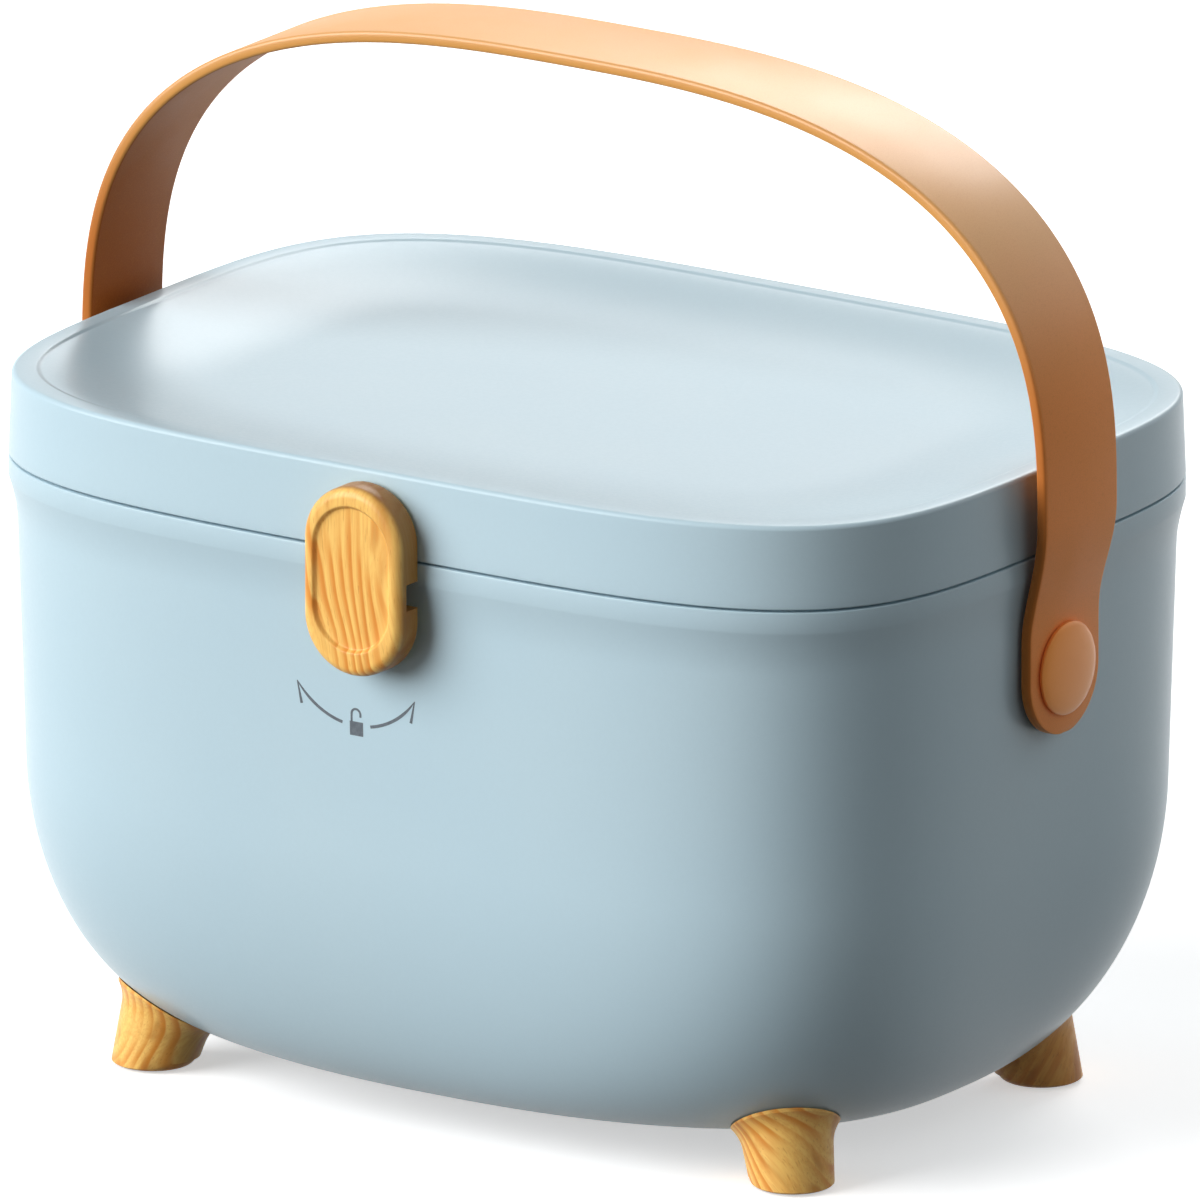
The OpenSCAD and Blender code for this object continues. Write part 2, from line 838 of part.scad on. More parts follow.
// Half of the strap's middle line as [x, z, width], from the tail up to the top
half_strap = concat(
    [
        for (i = [0 : tail_steps])
            let (v = tail_turn + (90 - tail_turn) * i / tail_steps)
            [strap_mid_a, tail_z - tail_r * cos(v), strap_end_w * sin(v)]
    ],
    [
        for (i = [0 : bend_steps])
            let (k = i / bend_steps, z = flat_z + (arch_z - flat_z) * k)
            [strap_mid_a + (arch_a - strap_mid_a) * ease(k), z, strap_width(z)]
    ],
    [
        for (i = [1 : arch_steps])
            let (w = 90 * i / arch_steps)
            [arch_a * pow(cos(w), 2 / arch_n), arch_z + arch_h * pow(sin(w), 2 / arch_n), strap_w]
    ]
);
strap_line = concat(
    half_strap,
    [for (i = [len(half_strap) - 2 : -1 : 0]) [-half_strap[i][0], half_strap[i][1], half_strap[i][2]]]
);

// Eight corners of the strap's section, as [across the thickness, along the width]
function strap_corners(t, w) =
    let (c = edge_break, a = t / 2, b = w / 2)
    [[-a, -b + c], [-a + c, -b], [a - c, -b], [a, -b + c], [a, b - c], [a - c, b], [-a + c, b], [-a, b - c]];

module strap_band() {
    line = strap_line;
    last = len(line) - 1;
    m = len(strap_corners(strap_t, strap_w));
    points = [
        for (i = [0 : last])
            let (
                p = line[i],
                step = line[min(i + 1, last)] - line[max(i - 1, 0)],
                run = norm([step[0], step[1]]),
                across = [step[1], -step[0]] / run
            )
            for (c = strap_corners(strap_t, p[2]))
                [p[0] + across[0] * c[0], c[1], p[1] + across[1] * c[0]]
    ];
    sides = [
        for (i = [0 : last - 1], k = [0 : m - 1])
            let (a = i * m + k, b = i * m + (k + 1) % m)
            each [[a, b, b + m], [a, b + m, a + m]]
    ];
    low = [for (k = [m - 1 : -1 : 0]) k];
    high = [for (k = [0 : m - 1]) last * m + k];
    polyhedron(points = points, faces = concat([low], sides, [high]), convexity = 8);
}

module handle_strap() {
    color("#a5683c")
        difference() {
            strap_band();
            for (sx = [-1, 1])
                at_rivet(sx)
                    translate([0, 0, strap_in_a - sink])
                        cylinder(r = post_r + 2 * run_fit, h = strap_t + 2 * sink, $fn = round_fn);
        }
}

module rivet_cap(sx) {
    dome = [
        for (i = [0 : step_steps])
            let (v = 90 * i / step_steps)
            [cap_r * cos(v), cap_edge_h + cap_dome_h * sin(v)]
    ];
    color("#b0713f")
        at_rivet(sx)
            translate([0, 0, cap_a])
                difference() {
                    rotate_extrude($fn = round_fn)
                        polygon(concat([[0, 0], [cap_r, 0]], dome));
                    translate([0, 0, -sink])
                        cylinder(r = post_r + pin_fit, h = cap_edge_h + 1.6 * sink, $fn = round_fn);
                }
}

module rivet_post(sx) {
    start = back_in_a - post_head_h;
    color("#c9ccd0")
        at_rivet(sx)
            translate([0, 0, start]) {
                cylinder(r = post_head_r, h = post_head_h, $fn = round_fn);
                cylinder(r = post_r, h = cap_a + cap_edge_h + sink / 2 - start, $fn = round_fn);
            }
}

module ring(r, bore, t) {
    difference() {
        cylinder(r = r, h = t, $fn = round_fn);
        translate([0, 0, -sink])
            cylinder(r = bore, h = t + 2 * sink, $fn = round_fn);
    }
}

module strap_washer(sx) {
    color("#e6e2d8")
        at_rivet(sx)
            translate([0, 0, pad_out_a])
                ring(strap_washer_r, post_r + run_fit, strap_washer_t);
}

module backing_washer(sx) {
    color("#c9ccd0")
        at_rivet(sx)
            translate([0, 0, back_in_a])
                ring(back_washer_r, post_r + run_fit, back_washer_t);
}

/* Tray */

tray_low_z = flange_z - tray_h;
tray_floor_z = tray_low_z + tray_wall;
tray_round = 5;
guide_reach = 2;

// Section of the tray, drawn in from its wall's top by inset
function tray_section(z, inset) = [z, tray_a - inset, tray_b - inset, outline_n];

// Inset of the tray's outer wall at height z
function tray_inset(z) = (rest_z - z) * tan(wall_draft);

function tray_round_sections(inset) = [
    for (i = [0 : edge_steps])
        let (v = 90 * i / edge_steps, z = tray_low_z + tray_round * (1 - cos(v)))
        tray_section(
            z + inset * cos(v),
            tray_inset(z) + tray_round * (1 - sin(v)) + inset * sin(v)
        )
];

module tray_shell() {
    inner = tray_round_sections(tray_wall);
    loft(concat(
        tray_round_sections(0),
        [
            tray_section(rest_z, 0),
            tray_section(rest_z, -flange_w),
            tray_section(flange_z, -flange_w),
            tray_section(flange_z, tray_wall)
        ],
        [for (i = [edge_steps : -1 : 0]) inner[i]]
    ));
}

rib_low_z = tray_floor_z - tray_wall / 2;
rib_top_z = rest_z - guide_reach;

// Pairs of upright guides that hold the loose dividers' edges, from depth y1 to y2
module divider_guides(y1, y2) {
    for (sx = [-1, 1], k = [-1, 1]) {
        x = sx * divider_x + k * (divider_t + seat_gap);
        translate([x - divider_t / 2, y1, rib_low_z])
            cube([divider_t, y2 - y1, rib_top_z - rib_low_z]);
    }
}

// Half depth of the tray's inside at the loose dividers, at height z
function tray_side(z) =
    let (s = tray_section(z, tray_inset(z) + tray_wall))
    depth_at(s[1], s[2], s[3], divider_x);

module tray() {
    rib_run = tray_a - tray_wall - tray_inset(tray_low_z);
    front = -tray_side(rib_top_z) - tray_wall / 2;
    color("#dfe6e8")
        union() {
            tray_shell();
            translate([-rib_run, long_rib_y, rib_low_z])
                cube([2 * rib_run, divider_t, rib_top_z - rib_low_z]);
            divider_guides(long_rib_y - guide_reach, long_rib_y + divider_t / 2);
            divider_guides(front, guide_reach - tray_side(tray_floor_z));
        }
}

module tray_divider(sx) {
    back = long_rib_y - seat_gap;
    low = -tray_side(tray_floor_z + tray_round) + seat_gap;
    high = -tray_side(rib_top_z) + seat_gap;
    color("#eef2f3")
        translate([sx * divider_x, 0, 0])
            rotate([90, 0, 90])
                linear_extrude(divider_t, center = true)
                    polygon([
                        [back, tray_floor_z],
                        [back, rib_top_z],
                        [high, rib_top_z],
                        [low, tray_floor_z + tray_round],
                        [low + tray_round, tray_floor_z]
                    ]);
}

tub();
lid();
tray();
tray_divider(-1);  // tray_divider_left
tray_divider(1);  // tray_divider_right
foot(-1, -1);  // foot_front_left
foot(1, -1);  // foot_front_right
foot(-1, 1);  // foot_rear_left
foot(1, 1);  // foot_rear_right
pad(-1, -1);  // pad_front_left
pad(1, -1);  // pad_front_right
pad(-1, 1);  // pad_rear_left
pad(1, 1);  // pad_rear_right
foot_screws();
hinge_pin(-1);  // hinge_pin_left
hinge_pin(1);  // hinge_pin_right
latch_knob();
latch_washer();
latch_screw();
handle_strap();
rivet_cap(-1);  // rivet_cap_left
rivet_cap(1);  // rivet_cap_right
rivet_post(-1);  // rivet_post_left
rivet_post(1);  // rivet_post_right
strap_washer(-1);  // strap_washer_left
strap_washer(1);  // strap_washer_right
backing_washer(-1);  // backing_washer_left
backing_washer(1);  // backing_washer_right
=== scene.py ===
"""Looks of the medicine storage box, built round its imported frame.

Sizes are in millimetres as the construction gives them, and meshes in metres, +Z up, with the
floor at z = 0 and the front towards -Y. Every new piece is a surface worked out with numpy.
"""

import logging
import math
from dataclasses import dataclass
from enum import Enum
from itertools import product

import bmesh
import bpy
import numpy as np
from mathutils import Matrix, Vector


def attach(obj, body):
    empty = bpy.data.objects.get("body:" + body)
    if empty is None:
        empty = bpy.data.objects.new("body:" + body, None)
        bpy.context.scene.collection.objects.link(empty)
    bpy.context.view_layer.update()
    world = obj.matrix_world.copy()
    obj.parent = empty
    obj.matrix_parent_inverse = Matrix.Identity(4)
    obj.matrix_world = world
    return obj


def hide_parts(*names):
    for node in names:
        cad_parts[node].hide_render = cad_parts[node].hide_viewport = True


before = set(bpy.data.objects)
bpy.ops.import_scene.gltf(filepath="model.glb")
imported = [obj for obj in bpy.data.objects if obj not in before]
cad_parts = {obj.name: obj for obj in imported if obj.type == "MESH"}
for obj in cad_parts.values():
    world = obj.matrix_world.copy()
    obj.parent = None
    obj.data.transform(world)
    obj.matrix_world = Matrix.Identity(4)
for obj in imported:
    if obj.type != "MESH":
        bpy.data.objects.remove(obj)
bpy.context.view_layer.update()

log = logging.getLogger("medicine_box")
Array = np.ndarray
Object, Material = bpy.types.Object, bpy.types.Material
Node, Socket = bpy.types.Node, bpy.types.NodeSocket
Point = tuple[float, float, float]
Place = tuple[Point, Array]
Profile = list[tuple[float, float]]
MM = 0.001
RIGHT = math.pi / 2
SIDES = (-1, 1)
SIGNS = list(product(SIDES, repeat=2))
CORNERS = {"front_left": (-1, -1), "front_right": (1, -1), "rear_left": (-1, 1), "rear_right": (1, 1)}
# Directions of a shape's own x, y and z where its z points to the front, and where it points right
AHEAD = np.array([[1, 0, 0], [0, 0, 1], [0, -1, 0]])
ALONG_X = np.array([[0, 1, 0], [0, 0, 1], [1, 0, 0]])


class Body(Enum):
    """Bodies that the pieces ride on."""

    TUB = "tub"
    LID = "lid"
    KNOB = "knob"
    HANDLE = "handle"


class Slot(Enum):
    """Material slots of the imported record."""

    BODY = "body_plastic"
    TRAY = "tray_plastic"
    WOOD = "wood"
    STRAP = "strap_leather"
    CAP = "cap_plastic"
    PAD = "pad_rubber"
    NYLON = "nylon"
    STEEL = "steel"


class Cut(Enum):
    """Ways of combining two solids."""

    ADD = "UNION"
    TAKE = "DIFFERENCE"
    KEEP = "INTERSECT"


# Shapes


@dataclass
class Shape:
    """Points in millimetres, one row each, and the faces that join them."""

    points: Array
    faces: list[tuple[int, ...]]

    def placed(self, origin: Point, axes: Array = np.eye(3)) -> "Shape":
        """Return the shape moved to origin, its own x, y and z turned to the rows of axes."""
        return Shape(self.points @ np.asarray(axes, float) + np.asarray(origin, float), self.faces)


def ease(k: Array | float) -> Array | float:
    """Return a soft rise from 0 to 1, half a cosine wave."""
    return (1 - np.cos(np.pi * np.clip(k, 0, 1))) / 2


def loft(rings: Array | list) -> Shape:
    """Skin through closed rings: each four neighbouring points make a face, and the first and
    last rings are closed by a flat face.

    Args:
        rings: points as ring, place on the ring, coordinate.

    Returns:
        The closed shape.
    """
    points = np.array(rings, float)
    rows, columns = points.shape[:2]
    ring, here = np.arange(rows - 1)[:, None] * columns, np.arange(columns)[None, :]
    there = (here + 1) % columns
    quads = np.stack([ring + here, ring + there, ring + columns + there, ring + columns + here], -1)
    first, last = range(columns), range((rows - 1) * columns, rows * columns)
    faces = [*map(tuple, quads.reshape(-1, 4).tolist()), tuple(reversed(first)), tuple(last)]
    return Shape(points.reshape(-1, 3), faces)


def lathe(profile: Profile, columns: int = 96) -> Shape:
    """Turn a profile round the z axis: a point is (r cos t, r sin t, h).

    Args:
        profile: radius and height pairs, every radius above 0.
        columns: points on each ring.

    Returns:
        The turned shape.
    """
    t = np.linspace(0, 2 * np.pi, columns, endpoint=False)
    r, h = np.asarray(profile, float).T
    flat = np.broadcast_to(h[:, None], (len(h), columns))
    return loft(np.stack([np.outer(r, np.cos(t)), np.outer(r, np.sin(t)), flat], -1))


def rod(r: float, low: float, high: float, columns: int = 48) -> Shape:
    """Return a plain round bar along z."""
    return lathe([(r, low), (r, high)], columns)


def drum(r: float, low: float, high: float, soft: float, columns: int = 96) -> Shape:
    """Return a round bar along z with both ends bevelled by soft."""
    return lathe([(r - soft, low), (r, low + soft), (r, high - soft), (r - soft, high)], columns)


def block(low: Point, high: Point) -> Shape:
    """Return a box between two corners, as a loft of its floor and its top."""
    (x0, y0, z0), (x1, y1, z1) = low, high
    return loft([[(x, y, z) for x, y in ((x0, y0), (x1, y0), (x1, y1), (x0, y1))] for z in (z0, z1)])


def prism(outline_yz: Profile, x0: float, x1: float) -> Shape:
    """Return a flat outline in y and z, carried straight along x from x0 to x1."""
    return loft([[(x, y, z) for y, z in outline_yz] for x in (x0, x1)])


def arc(centre: tuple[float, float], r: float, a0: float, a1: float, steps: int) -> Profile:
    """Return the points of an arc from a0 to a1 degrees, both ends among them."""
    t = np.radians(np.linspace(a0, a1, steps + 1))
    return list(zip((centre[0] + r * np.cos(t)).tolist(), (centre[1] + r * np.sin(t)).tolist()))


def hang(name: str, data: bpy.types.ID) -> Object:
    """Return a new object of the scene that shows the given data."""
    made = bpy.data.objects.new(name, data)
    bpy.context.scene.collection.objects.link(made)
    return made


def drop(piece: Object) -> None:
    """Remove a piece and its mesh."""
    mesh = piece.data
    bpy.data.objects.remove(piece)
    bpy.data.meshes.remove(mesh)


def to_object(name: str, shape: Shape) -> Object:
    """Make a mesh object from a shape, its faces turned outwards.

    Args:
        name: name of the piece.
        shape: points in millimetres and faces.

    Returns:
        The object, at the origin and unturned.
    """
    mesh = bpy.data.meshes.new(name)
    mesh.from_pydata((shape.points * MM).tolist(), [], shape.faces)
    work = bmesh.new()
    work.from_mesh(mesh)
    bmesh.ops.remove_doubles(work, verts=work.verts, dist=1e-7)
    if work.calc_volume(signed=True) < 0:
        bmesh.ops.reverse_faces(work, faces=work.faces)
    work.to_mesh(mesh)
    work.free()
    return hang(name, mesh)


def combine(base: Object, shapes: list[Shape], cut: Cut) -> None:
    """Combine solids with a piece and keep the result as its mesh.

    Args:
        base: the piece.
        shapes: solids to add, take away or keep within.
        cut: what is done with them.
    """
    tools = [to_object(f"{base.name}_tool", shape) for shape in shapes]
    for tool in tools:
        step = base.modifiers.new("cut", "BOOLEAN")
        step.operation, step.solver, step.object = cut.value, "MANIFOLD", tool
    depsgraph = bpy.context.evaluated_depsgraph_get()
    result = bpy.data.meshes.new_from_object(base.evaluated_get(depsgraph))
    base.modifiers.clear()
    old, base.data = base.data, result
    bpy.data.meshes.remove(old)
    result.name = base.name
    for tool in tools:
        drop(tool)


def settle(piece: Object, body: Body, slot: Slot, finish: Material, nodes: list[str],
           sharp: float = 32.0) -> None:
    """Smooth a piece, give it its finish and the body it rides on, and report it.

    Args:
        piece: the piece.
        body: body it rides on.
        slot: material slot that the finish belongs to; not used.
        finish: its material.
        nodes: nodes that it stands for.
        sharp: angle in degrees above which an edge stays sharp, 0 for flat faces.
    """
    mesh = piece.data
    if sharp:
        mesh.polygons.foreach_set("use_smooth", np.ones(len(mesh.polygons), bool))
        mesh.set_sharp_from_angle(angle=math.radians(sharp))
    mesh.materials.clear()
    mesh.materials.append(finish)
    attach(piece, body.value)
    if nodes:
        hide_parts(*nodes)
    log.info("%s: %d faces, rides on %s", piece.name, len(mesh.polygons), body.value)


# Materials


@dataclass
class Graph:
    """Node tree with short calls that add and join nodes."""

    tree: bpy.types.NodeTree

    def fill(self, node: Node, inputs: dict) -> None:
        """Set a node's inputs, by name or number, to values, or join sockets to them."""
        for name, value in inputs.items():
            if isinstance(value, Socket):
                self.tree.links.new(value, node.inputs[name])
            else:
                node.inputs[name].default_value = value

    def add(self, kind: str, inputs: dict | None = None, **settings: object) -> Node:
        """Add a node.

        Args:
            kind: the node's type, for a shader node without its first part.
            inputs: values or sockets for its inputs.
            settings: its own settings.

        Returns:
            The node.
        """
        node = self.tree.nodes.new(kind if kind.startswith("Node") else f"ShaderNode{kind}")
        for name, value in settings.items():
            setattr(node, name, value)
        self.fill(node, inputs or {})
        return node

    def group(self, name: str, **inputs: object) -> bpy.types.NodeOutputs:
        """Return the outputs of a shared node group with the given inputs."""
        return self.add("Group", inputs, node_tree=bpy.data.node_groups[name]).outputs

    def math(self, operation: str, *values: object) -> Socket:
        """Return the result of a sum, product or other operation on values or sockets."""
        return self.add("Math", dict(enumerate(values)), operation=operation).outputs[0]

    def vector(self, operation: str, one: object, two: object, key: int | str = 1) -> Socket:
        """Return the result of an operation on a vector and a second input."""
        return self.add("VectorMath", {0: one, key: two}, operation=operation).outputs[0]

    def spread(self, value: object, low: float, high: float, to_low: float = 0.0,
               to_high: float = 1.0) -> Socket:
        """Return a value softly mapped from one range to another and held there."""
        inputs = {"Value": value, "From Min": low, "From Max": high, "To Min": to_low, "To Max": to_high}
        return self.add("MapRange", inputs, interpolation_type="SMOOTHSTEP").outputs["Result"]

    def mix(self, share: object, one: object, two: object) -> Socket:
        """Return a colour between two colours."""
        return self.add("Mix", {0: share, 6: one, 7: two}, data_type="RGBA").outputs[2]

    def part(self, share: float, mask: object, one: object, two: object) -> Socket:
        """Return a colour turned to a second one by a share of a mask."""
        return self.mix(self.math("MULTIPLY", mask, share), one, two)

    def noise(self, vector: object, scale: float, detail: float, rough: float, output: int = 0) -> Socket:
        """Return a cloudy value from 0 to 1, or a vector of such values from output 1."""
        inputs = {"Vector": vector, "Scale": scale, "Detail": detail, "Roughness": rough}
        return self.add("TexNoise", inputs).outputs[output]

    def stretch(self, vector: object, *scale: float) -> Socket:
        """Return coordinates scaled about the origin."""
        return self.add("Mapping", {"Vector": vector, "Scale": scale}).outputs[0]

    def mark(self, name: str) -> Socket:
        """Return the value that a piece's points carry under a name."""
        return self.add("Attribute", attribute_name=name).outputs["Fac"]


def colour(red: float, green: float, blue: float) -> tuple[float, float, float, float]:
    """Return a linear colour from sRGB values of 0 to 255."""
    values = np.array([red, green, blue]) / 255
    linear = np.where(values <= 0.04045, values / 12.92, ((values + 0.055) / 1.055) ** 2.4)
    return (*linear.tolist(), 1.0)


def grey(value: float) -> tuple[float, float, float, float]:
    """Return a linear grey."""
    return (value, value, value, 1.0)


def new_group(name: str, inputs: tuple, outputs: tuple) -> tuple[Graph, bpy.types.NodeOutputs]:
    """Start a shared node group that takes a vector and values, and gives values.

    Args:
        name: name of the group.
        inputs: names of the values that it takes beside the vector.
        outputs: names of the values that it gives.

    Returns:
        The calls that fill it, and its inputs as seen from inside.
    """
    tree = bpy.data.node_groups.new(name, "ShaderNodeTree")
    tree.interface.new_socket("Vector", in_out="INPUT", socket_type="NodeSocketVector")
    for side, labels in (("INPUT", inputs), ("OUTPUT", outputs)):
        for label in labels:
            tree.interface.new_socket(label, in_out=side, socket_type="NodeSocketFloat")
    g = Graph(tree)
    return g, g.add("NodeGroupInput").outputs


def moulded_group() -> None:
    """Fine matt texture of a spark-eroded mould: small pits in two sizes and a slow cloud."""
    g, given = new_group("moulded_skin", ("Size",), ("Height", "Cloud", "Grain"))
    at = g.vector("SCALE", given["Vector"], given["Size"], "Scale")
    fine, coarse = g.noise(at, 2600.0, 2.0, 0.6), g.noise(at, 900.0, 3.0, 0.55)
    height = g.math("ADD", g.math("MULTIPLY", fine, 0.6), g.math("MULTIPLY", coarse, 0.4))
    cloud = g.spread(g.noise(at, 14.0, 3.0, 0.5), 0.3, 0.7)
    g.add("NodeGroupOutput", {"Height": height, "Cloud": cloud, "Grain": g.spread(coarse, 0.35, 0.65)})


def grain_group() -> None:
    """Grain of turned wood: distance from a bent heart line makes the rings, which fade here and
    there, and stretched noise makes streaks, fibres and pores along them."""
    g, given = new_group("wood_grain", ("Rings", "Bend"), ("Ring", "Streak", "Fibre", "Pore"))
    at = given["Vector"]
    slow = g.noise(g.stretch(at, 1, 1, 0.45), 34.0, 2.0, 0.4, 1)
    bend = g.vector("SCALE", g.vector("SUBTRACT", slow, (0.5, 0.5, 0.5)), given["Bend"], "Scale")
    bent = g.vector("ADD", at, bend)
    heart = g.stretch(bent, 1, 1, 0.28)
    distance = g.add("VectorMath", {0: heart}, operation="LENGTH").outputs["Value"]
    saw = g.math("FRACT", g.math("MULTIPLY", distance, given["Rings"]))
    line = g.math("MULTIPLY", g.spread(saw, 0.1, 0.8), g.spread(saw, 0.84, 1.0, 1.0, 0.0))
    calm = g.spread(g.noise(g.stretch(at, 1, 1, 0.4), 80.0, 1.0, 0.5), 0.4, 0.6, 0.1)
    streak = g.spread(g.noise(g.stretch(bent, 1, 1, 0.12), 130.0, 2.0, 0.5), 0.52, 0.66)
    fibre = g.noise(g.stretch(bent, 1, 1, 0.035), 1500.0, 3.0, 0.6)
    pore = g.spread(g.noise(g.stretch(bent, 1, 1, 0.06), 2300.0, 1.0, 0.5), 0.63, 0.72)
    ring = g.math("MULTIPLY", line, calm)
    g.add("NodeGroupOutput", {"Ring": ring, "Streak": streak, "Fibre": fibre, "Pore": pore})


def leather_group() -> None:
    """Coated leather: shallow cells with creases between them, and a slow cloud."""
    g, given = new_group("leather_skin", (), ("Height", "Cloud", "Crease"))
    at = given["Vector"]
    inputs = {"Vector": at, "Scale": 1500.0, "Randomness": 1.0}
    cells = g.add("TexVoronoi", inputs, feature="DISTANCE_TO_EDGE").outputs["Distance"]
    crease = g.spread(cells, 0.0, 0.12, 1.0, 0.0)
    soft = g.math("MULTIPLY", g.noise(at, 600.0, 4.0, 0.6), 0.7)
    height = g.math("SUBTRACT", soft, g.math("MULTIPLY", crease, 0.5))
    cloud = g.spread(g.noise(at, 30.0, 3.0, 0.55), 0.3, 0.7)
    g.add("NodeGroupOutput", {"Height": height, "Cloud": cloud, "Crease": crease})


@dataclass(frozen=True)
class Finish:
    """What every finish shares: a name and its plain shader values."""

    name: str
    roughness: float
    specular: float = 0.5

    def start(self) -> tuple[Material, Graph, Socket]:
        """Return a new material, its calls and the object's coordinates."""
        made = bpy.data.materials.new(self.name)
        made.use_nodes = True
        g = Graph(made.node_tree)
        return made, g, g.add("TexCoord").outputs["Object"]

    def rough(self, g: Graph, value: Socket, low: float, high: float, less: float, more: float) -> Socket:
        """Return a roughness that goes from less below the finish's own to more above it."""
        return g.spread(value, low, high, self.roughness - less, self.roughness + more)

    def close(self, made: Material, tone: Socket, height: Socket, depth: float, more: dict) -> Material:
        """Join the shader's inputs and return the material.

        Args:
            made: the material.
            tone: its colour.
            height: height of its fine relief.
            depth: depth of the relief in metres.
            more: further inputs by name.

        Returns:
            The material.
        """
        g = Graph(made.node_tree)
        shader = made.node_tree.nodes["Principled BSDF"]
        g.fill(shader, {"Roughness": self.roughness, "Specular IOR Level": self.specular})
        bump = g.add("Bump", {"Height": height, "Distance": depth, "Strength": 1.0}).outputs[0]
        g.fill(shader, {"Base Color": tone, "Normal": bump, **more})
        return made


@dataclass(frozen=True)
class Moulded(Finish):
    """Matt moulded plastic."""

    base: tuple = colour(190, 214, 224)
    cloudy: tuple = colour(187, 212, 223)
    size: float = 1.0
    depth: float = 0.000005
    gleam: tuple = colour(255, 255, 255)

    def make(self) -> Material:
        """Build the material: a slow cloud moves the colour, and fine pits the gloss."""
        made, g, at = self.start()
        skin = g.group("moulded_skin", Vector=at, Size=self.size)
        tone = g.mix(skin["Cloud"], self.base, self.cloudy)
        tone = g.part(0.14, skin["Grain"], tone, (*(c * 0.93 for c in self.base[:3]), 1.0))
        rough = self.rough(g, skin["Grain"], 0.0, 1.0, 0.02, 0.03)
        return self.close(made, tone, skin["Height"], self.depth,
                          {"Roughness": rough, "Specular Tint": self.gleam})


@dataclass(frozen=True)
class Wood(Finish):
    """Lacquered wood with strong figure."""

    pale: tuple = colour(255, 207, 114)
    deep: tuple = colour(226, 144, 52)
    streak: tuple = colour(196, 118, 36)
    # colour of the painted shade on the sides
    painted_shade_tone: tuple = colour(150, 92, 30)
    heart: tuple = (0.0, 0.0, 0.0)
    turn: tuple = (0.0, 0.0, 0.0)
    rings: float = 300.0
    bend: float = 0.022
    side_shade_share: float = 0.0

    def make(self) -> Material:
        """Build the material: rings, darker streaks, fibres and pores under clear lacquer, with
        painted shade, a darker tone, on the sides where one is wanted."""
        made, g, at = self.start()
        moved = g.add("Mapping", {"Vector": at, "Location": self.heart, "Rotation": self.turn}).outputs[0]
        grain = g.group("wood_grain", Vector=moved, Rings=self.rings, Bend=self.bend)
        tone = g.part(0.62, grain["Streak"], g.mix(grain["Ring"], self.pale, self.deep), self.streak)
        tone = g.mix(g.spread(grain["Fibre"], 0.35, 0.7, 0.0, 0.35), tone, self.deep)
        tone = g.part(0.35, grain["Pore"], tone, self.streak)
        # painted shade: faces turned away from the front get a darker tone
        if self.side_shade_share:
            facing = g.add("TexCoord").outputs["Normal"]
            ahead = g.math("ABSOLUTE", g.add("SeparateXYZ", {"Vector": facing}).outputs["Y"])
            tone = g.mix(g.spread(ahead, 0.1, 0.75, self.side_shade_share, 0.0), tone, self.painted_shade_tone)
        rough = self.rough(g, grain["Fibre"], 0.3, 0.7, 0.05, 0.08)
        height = g.math("SUBTRACT", g.math("MULTIPLY", grain["Fibre"], 0.5), grain["Pore"])
        return self.close(made, tone, height, 0.00002, {"Roughness": rough})


@dataclass(frozen=True)
class Leather(Finish):
    """Coated strap leather: paler over the top of the arch, which is painted highlight, and glossier there
    under a coat; paler on its cut edges, which get painted shade down the legs.
    """

    face: tuple = colour(255, 160, 92)
    # colour of the painted highlight over the top of the arch
    painted_highlight: tuple = colour(226, 168, 100)
    crease: tuple = colour(200, 116, 50)
    flesh: tuple = colour(150, 66, 8)
    edge: tuple = colour(216, 154, 84)
    # darker colour of the cut edge down the legs: painted shade
    edge_painted_shade: tuple = colour(186, 108, 50)
    bloom: tuple = colour(255, 186, 110)
    polish: float = 0.5

    def make(self) -> Material:
        """Build the material: clouded face with shallow creases, a painted highlight over the top of the
        arch, the darker flesh side and the paler cut with painted shade down the legs, each found by its
        attribute."""
        made, g, at = self.start()
        skin = g.group("leather_skin", Vector=at)
        handled, inner = g.mark("handled"), g.mark("inner_side")
        shift = g.spread(skin["Cloud"], 0.0, 1.0, -0.06, 0.06)
        # painted highlight: the colour turns paler towards the top of the arch
        tone = g.mix(g.math("ADD", handled, shift), self.face, self.painted_highlight)
        tone = g.part(0.18, skin["Crease"], g.mix(inner, tone, self.flesh), self.crease)
        # the cut edge is paler over the arch and darker down the legs, where the darker tone is painted
        # shade
        tone = g.mix(g.spread(g.mark("cut_edge"), 0.3, 0.8), tone, g.mix(handled, self.edge_painted_shade, self.edge))
        shine = g.math("MULTIPLY", g.math("SUBTRACT", 1.0, inner), g.math("MULTIPLY", handled, self.polish))
        return self.close(made, tone, skin["Height"], 0.000008, {
            "Roughness": self.rough(g, skin["Cloud"], 0.0, 1.0, 0.04, 0.05), "Coat Weight": shine,
            "Coat Roughness": 0.32, "Coat IOR": 1.8, "Sheen Weight": 0.6, "Sheen Roughness": 0.5,
            "Sheen Tint": self.bloom, "Specular Tint": self.bloom})


@dataclass(frozen=True)
class Metal(Finish):
    """Plated steel with fine drawing marks."""

    base: tuple = colour(206, 208, 210)
    dull: tuple = colour(184, 186, 190)

    def make(self) -> Material:
        """Build the material: stretched noise moves the tone, the gloss and the surface."""
        made, g, at = self.start()
        marks = g.noise(g.stretch(at, 0.08, 1, 1), 2400.0, 3.0, 0.6)
        tone = g.mix(g.spread(g.noise(at, 220.0, 3.0, 0.5), 0.3, 0.7), self.base, self.dull)
        rough = self.rough(g, marks, 0.3, 0.7, 0.08, 0.1)
        return self.close(made, tone, marks, 0.000008, {"Metallic": 1.0, "Roughness": rough})


@dataclass(frozen=True)
class Ink(Finish):
    """Grey printing ink that keeps some of the skin under it."""

    base: tuple = colour(84, 92, 100)
    thin: tuple = colour(98, 107, 115)

    def make(self) -> Material:
        """Build the material: small gaps where the ink lies thin."""
        made, g, at = self.start()
        skin = g.group("moulded_skin", Vector=at, Size=1.0)
        return self.close(made, g.mix(skin["Grain"], self.base, self.thin), skin["Height"], 0.00001, {})


# Sizes of the construction


